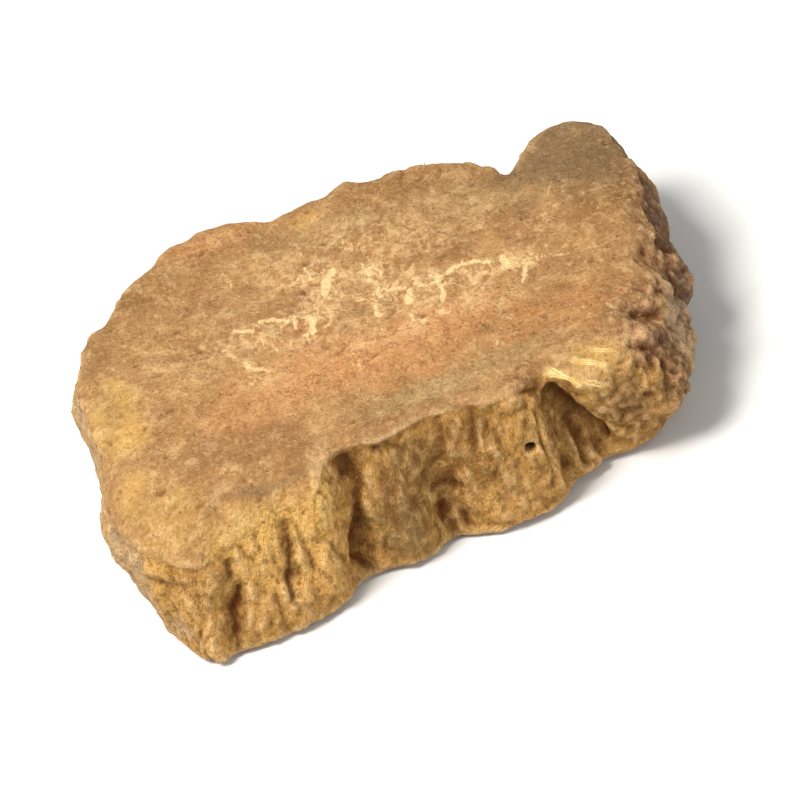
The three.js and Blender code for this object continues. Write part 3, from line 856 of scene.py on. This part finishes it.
def close_group(wires, results):
    """Gives a shader node group its outputs, by name, and returns it."""
    for label in results:
        wires.tree.interface.new_socket(label, in_out="OUTPUT", socket_type="NodeSocketFloat")
    wires.node("NodeGroupOutput", results)
    return wires.tree


def build_fibre_group():
    """Fine streaks that run along the third axis of a grain vector."""
    wires, given = open_group("Root fibre streaks", "Grain", "Fineness", 1.0)

    def streaks(squeeze, fineness, *how):
        stretched = wires.stretch(given["Grain"], (1.0, 1.0, squeeze))
        return wires.noise(stretched, wires.times(given["Fineness"], fineness), *how)

    dashes = streaks(0.42, 1.4, 3, 0.65, 0.9)
    return close_group(wires, {
        "Streaks": wires.ramp(streaks(0.10, 1.0, 3, 0.6, 0.15), 0.3, 0.7),
        "Strands": wires.ramp(streaks(0.14, 3.4, 2, 0.6, 0.1), 0.32, 0.68),
        "Pale dashes": wires.ramp(dashes, 0.52, 0.64),
        "Dark dashes": wires.ramp(dashes, 0.47, 0.34)})


def build_grit_group():
    """Pores, pale dust and a fine uneven grain over a dry surface, at points given in mm."""
    wires, given = open_group("Root pores and dust", "Place", "Pore size", 0.5)
    place = given["Place"]
    pores = wires.cells(place, wires.maths("DIVIDE", 0.9, given["Pore size"]))
    few = wires.ramp(wires.noise(place, 0.8, 3), 0.54, 0.66)
    specks = wires.cells(wires.vectors("ADD", place, (7.1, 3.3, 5.7)), 1.9)
    drift = wires.ramp(wires.noise(place, 0.35, 3), 0.46, 0.6)
    return close_group(wires, {
        "Pores": wires.times(wires.ramp(pores, 0.24, 0.10), few),
        "Dust": wires.times(wires.ramp(specks, 0.26, 0.10), drift),
        "Grit": wires.noise(place, 3.2, 4, 0.65)})


def build_marbling_group():
    """Pale strokes and brown rays that fan out from many small stars, at points given in mm."""
    wires, given = open_group("Root marbling", "Place", "Star size", 4.0)
    place = given["Place"]
    shift = wires.vectors("SUBTRACT", wires.noise(place, 0.6, 3, 0.5, output="Color"), (0.5,) * 3)
    bent = wires.vectors("ADD", place, wires.vectors("SCALE", shift, 2.0))

    def gaps(offset, scale):
        return wires.ramp(wires.noise(wires.vectors("ADD", place, offset), scale, 2), 0.44, 0.56)

    def lines(offset, scale, width):
        moved = wires.stretch(wires.vectors("ADD", bent, offset), (1.25, 0.75, 1.0))
        value = wires.maths("ABSOLUTE", wires.maths("SUBTRACT", wires.noise(moved, scale, 1), 0.5))
        return wires.ramp(value, width, width * 0.1)

    # Stars: the strokes of each one run out from its own middle.
    star = wires.node("ShaderNodeTexVoronoi", {
        "Vector": bent, "Scale": wires.maths("DIVIDE", 1.0, given["Star size"])},
        voronoi_dimensions="2D").outputs
    flat = wires.stretch(wires.vectors("SUBTRACT", bent, star["Position"]), (1, 1, 0))
    way = wires.vectors("SCALE", wires.vectors("NORMALIZE", flat), 1.5)
    way = wires.vectors("ADD", way, wires.vectors("SCALE", star["Position"], 3.7))
    fan = wires.noise(wires.vectors("ADD", way, wires.vectors("SCALE", flat, 0.35)), 1.0, 2, 0.6)
    reach = wires.ramp(star["Distance"], 0.66, 0.38)
    strokes = wires.times(wires.times(wires.ramp(fan, 0.51, 0.59), reach), gaps((3, 1, 7), 0.9))
    rays = wires.times(wires.ramp(fan, 0.46, 0.34), reach)

    # Winding strokes between the stars.
    winding = wires.times(lines((9, 4, 2), 0.40, 0.110), gaps((8, 5, 1), 0.5))
    finest = wires.times(lines((5, 17, 8), 0.62, 0.115), gaps((1, 9, 4), 0.70))
    between = wires.times(lines((2, 11, 6), 0.50, 0.100), gaps((6, 3, 12), 0.62))
    strokes = wires.maths("MAXIMUM", strokes, wires.times(winding, 0.85))
    return close_group(wires, {
        "Flecks": wires.maths("MAXIMUM", strokes, wires.times(finest, 0.7)),
        "Rays": wires.maths("MAXIMUM", rays, between),
        "Red flecks": wires.times(lines((21, 13, 5), 1.1, 0.06), gaps((13, 2, 9), 0.5))})


def shared_groups():
    """The shader node groups that the root's materials share, built once."""
    makers = {"fibres": ("Root fibre streaks", build_fibre_group),
              "grit": ("Root pores and dust", build_grit_group),
              "marbling": ("Root marbling", build_marbling_group)}
    return {key: bpy.data.node_groups.get(name) or maker() for key, (name, maker) in makers.items()}


def new_material(name, roughness, specular):
    """A material with a Principled shader, with its wiring."""
    material = bpy.data.materials.new(name)
    material.use_nodes = True
    shader = material.node_tree.nodes["Principled BSDF"]
    shader.inputs["Roughness"].default_value = roughness
    shader.inputs["Specular IOR Level"].default_value = specular
    return material, shader, Wiring(material.node_tree)


def rgba(colour):
    return (*colour, 1.0)


def place_in_mm(wires):
    coordinates = wires.node("ShaderNodeTexCoord").outputs["Object"]
    return wires.stretch(coordinates, (1 / MM,) * 3)


def add_bump(wires, shader, height, distance, strength):
    """Gives a shader relief finer than the mesh, with its height in mm."""
    inputs = {"Strength": strength, "Distance": distance * MM, "Height": height}
    bump = wires.node("ShaderNodeBump", inputs)
    wires.feed(shader.inputs["Normal"], bump.outputs["Normal"])


def mottle(wires, place):
    """Patches and specks of several sizes, each from 0 to 1, by name."""
    blotches = wires.noise(place, 0.9, 4, 0.65)
    specks = wires.noise(place, 2.4, 3, 0.65)
    wide = wires.noise(place, 0.38, 3, 0.6, 0.6)
    beads = wires.noise(wires.stretch(place, (1, 1, 0.7)), 1.15, 2, 0.5)
    ranges = {
        "clouds": (wires.noise(place, 0.16, 4, 0.6), 0.35, 0.65),
        "broad": (wires.noise(place, 0.30, 4, 0.6), 0.30, 0.58),
        "patchy": (wires.noise(place, 0.33, 2), 0.42, 0.58),
        "pale blotches": (blotches, 0.52, 0.74),
        "dark blotches": (blotches, 0.46, 0.28),
        "matt": (blotches, 0.3, 0.7, 0.82, 0.96),
        "pale specks": (specks, 0.54, 0.68),
        "dark specks": (specks, 0.46, 0.32),
        "pale beads": (beads, 0.54, 0.66),
        "dark beads": (beads, 0.47, 0.35),
        "wide pale": (wide, 0.52, 0.66),
        "wide dark": (wide, 0.46, 0.32),
    }
    return {name: wires.ramp(*given) for name, given in ranges.items()}


def root_masks(wires, place, groups):
    """Everything that the root's layers of colour go by, by name."""
    mask = {name: wires.attribute(name) for name in (
        "side", "ring", "hollow_shade", "crest_highlight", "stain_and_shade", "foot_highlight", "bark", "chalk", "rugged", "blush",
        "marbling", "cambium", "ash", "gold", "bare", "dusk_and_shade", "pale", "stroke", "brown", "knob")}
    mask.update(mottle(wires, place))
    grain = wires.attribute("grain", "Vector")
    fibres = wires.group(groups["fibres"], {"Grain": grain, "Fineness": 1.7})
    coarse = wires.group(groups["fibres"], {"Grain": grain, "Fineness": 0.55})
    grit = wires.group(groups["grit"], {"Place": place, "Pore size": 0.5})
    marbling = wires.group(groups["marbling"], {"Place": place, "Star size": 5.0})
    ring, rugged = mask["ring"], mask["rugged"]
    outward = wires.times(wires.ramp(ring, 0.30, 0.70), mask["patchy"])
    patterned = wires.ramp(mask["marbling"], 0.0, 0.75, 0.08, 0.8)
    fibrous = wires.maths("MAXIMUM", mask["side"], wires.ramp(ring, 0.6, 0.95, 0.0, 0.35))
    beads = wires.maths("SUBTRACT", mask["pale beads"], wires.times(mask["dark beads"], 1.2))
    combed = wires.maths("SUBTRACT", 1.0, fibres["Streaks"])
    mask.update({
        "outer": wires.ramp(ring, 0.62, 0.98),
        "combed": wires.times(combed, wires.ramp(ring, 0.55, 0.95)),
        "browned": wires.maths("SUBTRACT", 1.0, coarse["Streaks"]),
        "strands": fibres["Strands"],
        "threads": wires.times(wires.maths("ADD", fibres["Streaks"], fibres["Strands"]), fibrous),
        "beads": wires.times(beads, mask["side"]),
        "pale dashes": wires.times(fibres["Pale dashes"], outward),
        "dark dashes": wires.times(fibres["Dark dashes"], outward),
        "flecks": wires.times(marbling["Flecks"], patterned),
        "rays": wires.times(marbling["Rays"], patterned),
        "red flecks": wires.times(marbling["Red flecks"], wires.ramp(mask["blush"], 0.2, 0.9)),
        "bare strands": wires.times(mask["bare"], wires.ramp(fibres["Strands"], 0.2, 0.8, 0.5)),
        # Painted highlights on the crests, weaker on the rugged end.
        "face crest": wires.times(mask["crest_highlight"], wires.ramp(rugged, 0.0, 1.0, 0.42, 0.20)),
        "side crest": wires.times(mask["crest_highlight"], wires.ramp(rugged, 0.0, 1.0, 0.50, 0.22)),
        # Painted shade mixed with the hollows' own red brown, where the furrows are darkest.
        "deep stain": wires.ramp(mask["stain_and_shade"], 0.65, 1.0),
        "pores": grit["Pores"],
        "dust": grit["Dust"],
        "grit": grit["Grit"],
    })
    frayed = wires.times(wires.maths("SUBTRACT", wires.noise(place, 1.8, 3, 0.6), 0.5), 0.9)
    for name in ("brown", "stroke"):
        worn = wires.ramp(wires.maths("ADD", mask[name], frayed), 0.22, 0.72)
        mask["worn " + name] = wires.times(worn, wires.ramp(mask[name], 0.05, 0.60))
    return mask


def root_material(colours, groups):
    """Dried root: marbled tan on its cut faces, streaked ochre and brown on its peeled side, with painted
    highlights on crests and foot and painted shade in hollows.
    """
    material, shader, wires = new_material("Dried root", 0.9, 0.08)
    mask = root_masks(wires, place_in_mm(wires), groups)
    paint = {name: rgba(getattr(colours, name)) for name in setting_names(colours)}
    beads = wires.mix(wires.times(mask["dark beads"], 0.75), paint["rose"], paint["bark"])
    paint["beaded"] = wires.mix(wires.times(mask["pale beads"], 0.75), beads, paint["skin"])
    face = wires.mix(mask["clouds"], paint["tan_dark"], paint["tan"])
    face = wires.lay(face, FACE_LAYERS, mask, paint)
    side = wires.mix(mask["broad"], paint["olive"], paint["ochre"])
    side = wires.lay(side, SIDE_LAYERS, mask, paint)
    colour = wires.mix(wires.ramp(mask["side"], 0.25, 0.75), face, side)
    colour = wires.lay(colour, [("pores", 0.25, "umber"), ("dust", 0.16, "cream")], mask, paint)
    shade = wires.ramp(mask["grit"], 0.25, 0.75, 0.82, 1.10)
    wires.feed(shader.inputs["Base Color"], wires.vectors("SCALE", colour, shade))
    height = mask["grit"]
    for name, share in (("threads", 0.42), ("flecks", 0.6), ("beads", 0.6), ("pores", -1.2),
                        ("dust", 0.4), ("pale blotches", 0.35), ("pale specks", 0.35),
                        ("dark specks", -0.4)):
        height = wires.maths("ADD", height, wires.times(mask[name], share))
    add_bump(wires, shader, height, 0.22, 0.9)
    wires.feed(shader.inputs["Roughness"], mask["matt"])
    return material


def bits_material(name, pale, dark, groups):
    """Fibres and crumbs: the root's own colours, varied along the grain and from bit to bit."""
    material, shader, wires = new_material(name, 0.8, 0.2)
    place = place_in_mm(wires)
    grit = wires.group(groups["grit"], {"Place": place, "Pore size": 0.3})
    share = wires.ramp(wires.noise(place, 0.9, 2), 0.35, 0.65)
    colour = wires.mix(share, rgba(dark), rgba(pale))
    colour = wires.mix(wires.times(grit["Pores"], 0.4), colour, rgba(dark))
    wires.feed(shader.inputs["Base Color"], colour)
    add_bump(wires, shader, grit["Grit"], 0.03, 1.0)
    return material


# Scattered bits, by Geometry Nodes


class ScatterTree(Wiring):
    """The wiring of a Geometry Nodes tree with named inputs."""

    def __init__(self, name, inputs):
        super().__init__(bpy.data.node_groups.new(name, "GeometryNodeTree"))
        new_socket = self.tree.interface.new_socket
        new_socket("Geometry", in_out="INPUT", socket_type="NodeSocketGeometry")
        self.sockets = {}
        for label, kind in inputs.items():
            made = new_socket(label, in_out="INPUT", socket_type="NodeSocket" + kind)
            self.sockets[label] = made.identifier
        new_socket("Geometry", in_out="OUTPUT", socket_type="NodeSocketGeometry")
        self.given = self.node("NodeGroupInput").outputs

    def named(self, name, kind):
        inputs = {"Name": name}
        return self.node("GeometryNodeInputNamedAttribute", inputs, data_type=kind).outputs["Attribute"]

    def random(self, low, high, seed):
        inputs = {"Seed": self.maths("ADD", self.given["Seed"], seed)}
        made = self.node("FunctionNodeRandomValue", inputs, data_type="FLOAT")
        floats = [s for s in made.inputs if s.type == "VALUE" and s.name in ("Min", "Max")]
        floats[0].default_value, floats[1].default_value = low, high
        return [s for s in made.outputs if s.type == "VALUE"][0]


def scatter_tree(name, mask, bit, turn_along_grain):
    """Scatters copies of one small bit where a mask is high, and makes them one mesh."""
    made = ScatterTree(name, {"Density": "Float", "Length": "Float", "Width": "Float", "Seed": "Int",
                              "Material": "Material"})
    given = made.given
    points = made.node("GeometryNodeDistributePointsOnFaces", {
        "Mesh": given["Geometry"], "Density": made.times(made.named(mask, "FLOAT"), given["Density"]),
        "Seed": given["Seed"]}, distribute_method="RANDOM")
    rotation = points.outputs["Rotation"]
    low, high, spin = -3.1, 3.1, 3.1
    if turn_along_grain:
        low, high, spin = -0.32, 0.02, 0.5
        rotation = made.node("FunctionNodeAlignRotationToVector", {
            "Rotation": rotation, "Vector": made.named("fibre_way", "FLOAT_VECTOR")},
            axis="X", pivot_axis="Z").outputs["Rotation"]
    tilt = made.node("ShaderNodeCombineXYZ", {
        "X": made.random(-0.5, 0.5, 1), "Y": made.random(low, high, 2),
        "Z": made.random(-spin, spin, 3)})
    turned = made.node("FunctionNodeRotateRotation", {
        "Rotation": rotation, "Rotate By": tilt.outputs[0]}, rotation_space="LOCAL")
    size = made.node("ShaderNodeCombineXYZ", {
        axis: made.times(given[label], made.random(0.45, 1.5, seed))
        for axis, label, seed in (("X", "Length", 4), ("Y", "Width", 5), ("Z", "Width", 6))})
    info = made.node("GeometryNodeObjectInfo", {"Object": bit}, transform_space="ORIGINAL")
    instances = made.node("GeometryNodeInstanceOnPoints", {
        "Points": points.outputs["Points"], "Instance": info.outputs["Geometry"],
        "Rotation": turned.outputs["Rotation"], "Scale": size.outputs[0]})
    real = made.node("GeometryNodeRealizeInstances", {"Geometry": instances.outputs["Instances"]})
    finish = made.node("GeometryNodeSetMaterial", {
        "Geometry": real.outputs["Geometry"], "Material": given["Material"]})
    made.node("NodeGroupOutput", {"Geometry": finish.outputs["Geometry"]})
    return made


def scatter(name, label, bit, mask, turn_along_grain, values):
    """Scatters copies of a bit over the slice where a mask is high, as one plain piece."""
    colours = bpy.context.scene.root_colours
    made = scatter_tree(label + "s", mask, bit, turn_along_grain)
    material = bits_material(label, colours.tan, colours.tan_dark, shared_groups())
    piece = link_piece(name, bpy.data.objects["rhubarb_slice"].data.copy())
    modifier = piece.modifiers.new("Scatter", "NODES")
    modifier.node_group = made.tree
    for key, value in (*values.items(), ("Material", material)):
        modifier[made.sockets[key]] = value
    mesh = evaluated_mesh(piece)
    piece.modifiers.clear()
    piece.data = mesh
    bpy.data.objects.remove(bit)
    return piece


def add_tube(form, rings):
    """Joins rings of vertices into a tube closed at both ends."""
    sides = len(rings[0])
    for near, far in zip(rings, rings[1:]):
        for k in range(sides):
            form.faces.new([near[k], near[(k + 1) % sides], far[(k + 1) % sides], far[k]])
    form.faces.new(rings[0])
    form.faces.new(rings[-1])


def fibre_bit():
    """A bent, tapered strand one unit long and one wide, lying along X."""
    sides, bend = 4, 0.16
    form = bmesh.new()
    rings = []
    for x, radius in ((-0.5, 0.12), (-0.18, 0.5), (0.2, 0.42), (0.5, 0.08)):
        lift = -4 * bend * (0.25 - x * x)
        turns = [2 * math.pi * k / sides for k in range(sides)]
        rings.append([form.verts.new((x, radius * math.cos(turn), radius * math.sin(turn) + lift))
                      for turn in turns])
    add_tube(form, rings)
    bmesh.ops.recalc_face_normals(form, faces=form.faces)
    return mesh_piece("fibre_bit", form)


def crumb_bit():
    """A small angular crumb, one unit wide."""
    form = bmesh.new()
    bmesh.ops.create_icosphere(form, subdivisions=1, radius=0.5)
    for vertex in form.verts:
        vertex.co *= 1 + 0.35 * noise.noise(vertex.co * 3.1)
    return mesh_piece("crumb_bit", form)


def lay_strand(form, ground, start, end, half_width, seed):
    """Adds to a mesh a tapered, flattened strand that lies half sunk in the ground."""
    stations, sides = 16, 8
    rings = []
    for k in range(stations + 1):
        share = k / stations
        at = start.lerp(end, share)
        at += 0.10 * noise.noise_vector(Vector((seed, 2.3 * share, 0.5)))
        at, up, _, _ = ground.find_nearest(at * MM)
        across = up.cross((end - start).normalized()).normalized()
        swell = math.sin(math.pi * min(max(share, 0.03), 0.97)) ** 0.5
        swell *= 1 + 0.35 * noise.noise(Vector((seed, 5 * share, 3.1)))
        wide, high = 0.85 * half_width * swell * MM, 0.42 * half_width * swell * MM
        rings.append([form.verts.new(at + across * wide * math.cos(turn) + up * high * math.sin(turn))
                      for turn in (2 * math.pi * side / sides for side in range(sides))])
    add_tube(form, rings)


def bare_strands(base):
    """The pale strands laid bare on the broken shoulder, as one piece."""
    noise.seed_set(STRAND_SEED)
    ground_form = bmesh.new()
    ground_form.from_mesh(base.data)
    ground = BVHTree.FromBMesh(ground_form)
    ground_form.free()
    form = bmesh.new()
    for number, (start, end, half_width) in enumerate(STRANDS):
        for part, share in enumerate((-0.9, 0.1, 0.8)):
            aside = half_width * share * Vector((0.5, 0.6, 0.5))
            lay_strand(form, ground, Vector(start) + aside, Vector(end) + 0.6 * aside,
                       0.24 * half_width, 3 * number + part)
    bmesh.ops.recalc_face_normals(form, faces=form.faces)
    piece = mesh_piece("bare_strands", form)
    piece.data.shade_smooth()
    return piece


# Operators


class ROOT_OT_slice(bpy.types.Operator):
    """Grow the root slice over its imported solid"""

    bl_idname = "root.slice"
    bl_label = "Root slice"

    def execute(self, context):
        scene = context.scene
        piece = smooth_solid("rhubarb_slice", scene.root_surface.mesh_step)
        grow_surface(piece, scene.root_surface)
        piece.data.materials.append(root_material(scene.root_colours, shared_groups()))
        piece.data.shade_smooth()
        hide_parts(NODE)
        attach(piece, BODY)
        return {"FINISHED"}


class ROOT_OT_strands(bpy.types.Operator):
    """Lay the pale strands on the broken shoulder"""

    bl_idname = "root.strands"
    bl_label = "Bare strands"

    def execute(self, context):
        colours = context.scene.root_colours
        piece = bare_strands(bpy.data.objects["rhubarb_slice"])
        piece.data.materials.append(
            bits_material("Bare strand", colours.straw, colours.gold, shared_groups()))
        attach(piece, BODY)
        return {"FINISHED"}


class ROOT_OT_fibres(bpy.types.Operator):
    """Scatter torn fibres along the rim and the side"""

    bl_idname = "root.fibres"
    bl_label = "Torn fibres"

    def execute(self, context):
        bits = context.scene.root_bits
        piece = scatter("torn_fibres", "Torn fibre", fibre_bit(), "frayed", True, {
            "Density": bits.fibre_density, "Length": bits.fibre_length,
            "Width": bits.fibre_width, "Seed": bits.seed})
        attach(piece, BODY)
        return {"FINISHED"}


class ROOT_OT_crumbs(bpy.types.Operator):
    """Scatter crumbs of starch over the cut faces and the broken end"""

    bl_idname = "root.crumbs"
    bl_label = "Starch crumbs"

    def execute(self, context):
        bits = context.scene.root_bits
        piece = scatter("starch_crumbs", "Starch crumb", crumb_bit(), "dusty", False, {
            "Density": bits.crumb_density, "Length": bits.crumb_size,
            "Width": bits.crumb_size, "Seed": bits.seed + 1})
        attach(piece, BODY)
        return {"FINISHED"}


def soft_box(name, position, size, power, colour):
    """A square area light that shines at the slice's middle."""
    light = bpy.data.lights.new(name, "AREA")
    light.shape = "SQUARE"
    light.size = size
    light.energy = power
    light.color = colour
    lamp = bpy.data.objects.new(name, light)
    lamp.location = position
    lamp.rotation_euler = (Vector(MIDDLE) - Vector(position)).to_track_quat("-Z", "Y").to_euler()
    bpy.context.scene.collection.objects.link(lamp)


class ROOT_OT_stage(bpy.types.Operator):
    """Set the floor, the lights and the camera"""

    bl_idname = "root.stage"
    bl_label = "Stage"

    def execute(self, context):
        scene = context.scene
        settings = scene.root_stage
        self.floor(settings)
        self.lights(scene)
        self.camera(scene, settings)
        scene.view_settings.view_transform = "Standard"
        scene.view_settings.look = "None"
        return {"FINISHED"}

    def floor(self, settings):
        """A wide plain floor at the slice's lowest point."""
        form = bmesh.new()
        bmesh.ops.create_grid(form, x_segments=1, y_segments=1, size=3.0)
        floor = mesh_piece("floor", form)
        material, shader, wires = new_material("Floor", 0.7, 0.2)
        wires.feed(shader.inputs["Base Color"], rgba(settings.floor_colour))
        floor.data.materials.append(material)

    def lights(self, scene):
        """A large key from the upper left, a fill from the right and an even pale surround."""
        world = bpy.data.worlds.new("Studio")
        world.use_nodes = True
        background = world.node_tree.nodes["Background"]
        background.inputs["Color"].default_value = (1.0, 0.99, 0.97, 1)
        background.inputs["Strength"].default_value = SURROUND
        scene.world = world
        for name, settings in SOFT_BOXES.items():
            soft_box(name, *settings)

    def camera(self, scene, settings):
        """The photograph's viewing angle, through a long lens."""
        lens = bpy.data.cameras.new("camera")
        lens.lens = settings.lens
        lens.clip_start = 0.01
        distance = settings.view_width * settings.lens / lens.sensor_width
        toward = Vector((0, -math.cos(settings.elevation), math.sin(settings.elevation)))
        target = Vector((0, -2.0 * MM, 7.0 * MM))
        camera = bpy.data.objects.new("camera", lens)
        scene.collection.objects.link(camera)
        turn = (-toward).to_track_quat("-Z", "Y").to_matrix().to_4x4()
        camera.matrix_world = (Matrix.Translation(target + toward * distance) @ turn
                               @ Matrix.Rotation(-settings.roll, 4, "Z"))
        scene.camera = camera


def setting_names(settings):
    """The names of a property group's own settings."""
    return [name for name in settings.bl_rna.properties.keys() if name not in ("rna_type", "name")]


class ROOT_PT_panel(bpy.types.Panel):
    """Steps that build the root slice"""

    bl_label = "Root slice"
    bl_idname = "ROOT_PT_panel"
    bl_space_type = "VIEW_3D"
    bl_region_type = "UI"
    bl_category = "Root slice"

    def draw(self, context):
        for operator in OPERATORS:
            self.layout.operator(operator.bl_idname)
        for key in SETTINGS:
            settings = getattr(context.scene, key)
            box = self.layout.box()
            for name in setting_names(settings):
                box.prop(settings, name)


OPERATORS = (ROOT_OT_slice, ROOT_OT_strands, ROOT_OT_fibres, ROOT_OT_crumbs, ROOT_OT_stage)
SETTINGS = {"root_surface": RootSurface, "root_colours": RootColours, "root_bits": LooseBits,
            "root_stage": StageSettings}
CLASSES = (*SETTINGS.values(), *OPERATORS, ROOT_PT_panel)


def register():
    for cls in CLASSES:
        bpy.utils.register_class(cls)
    for name, cls in SETTINGS.items():
        setattr(bpy.types.Scene, name, PointerProperty(type=cls))


def unregister():
    for name in SETTINGS:
        delattr(bpy.types.Scene, name)
    for cls in reversed(CLASSES):
        bpy.utils.unregister_class(cls)


def main():
    """Builds the slice and its stage."""
    register()
    bpy.ops.root.slice()
    bpy.ops.root.strands()
    bpy.ops.root.fibres()
    bpy.ops.root.crumbs()
    bpy.ops.root.stage()


if __name__ == "__main__":
    main()
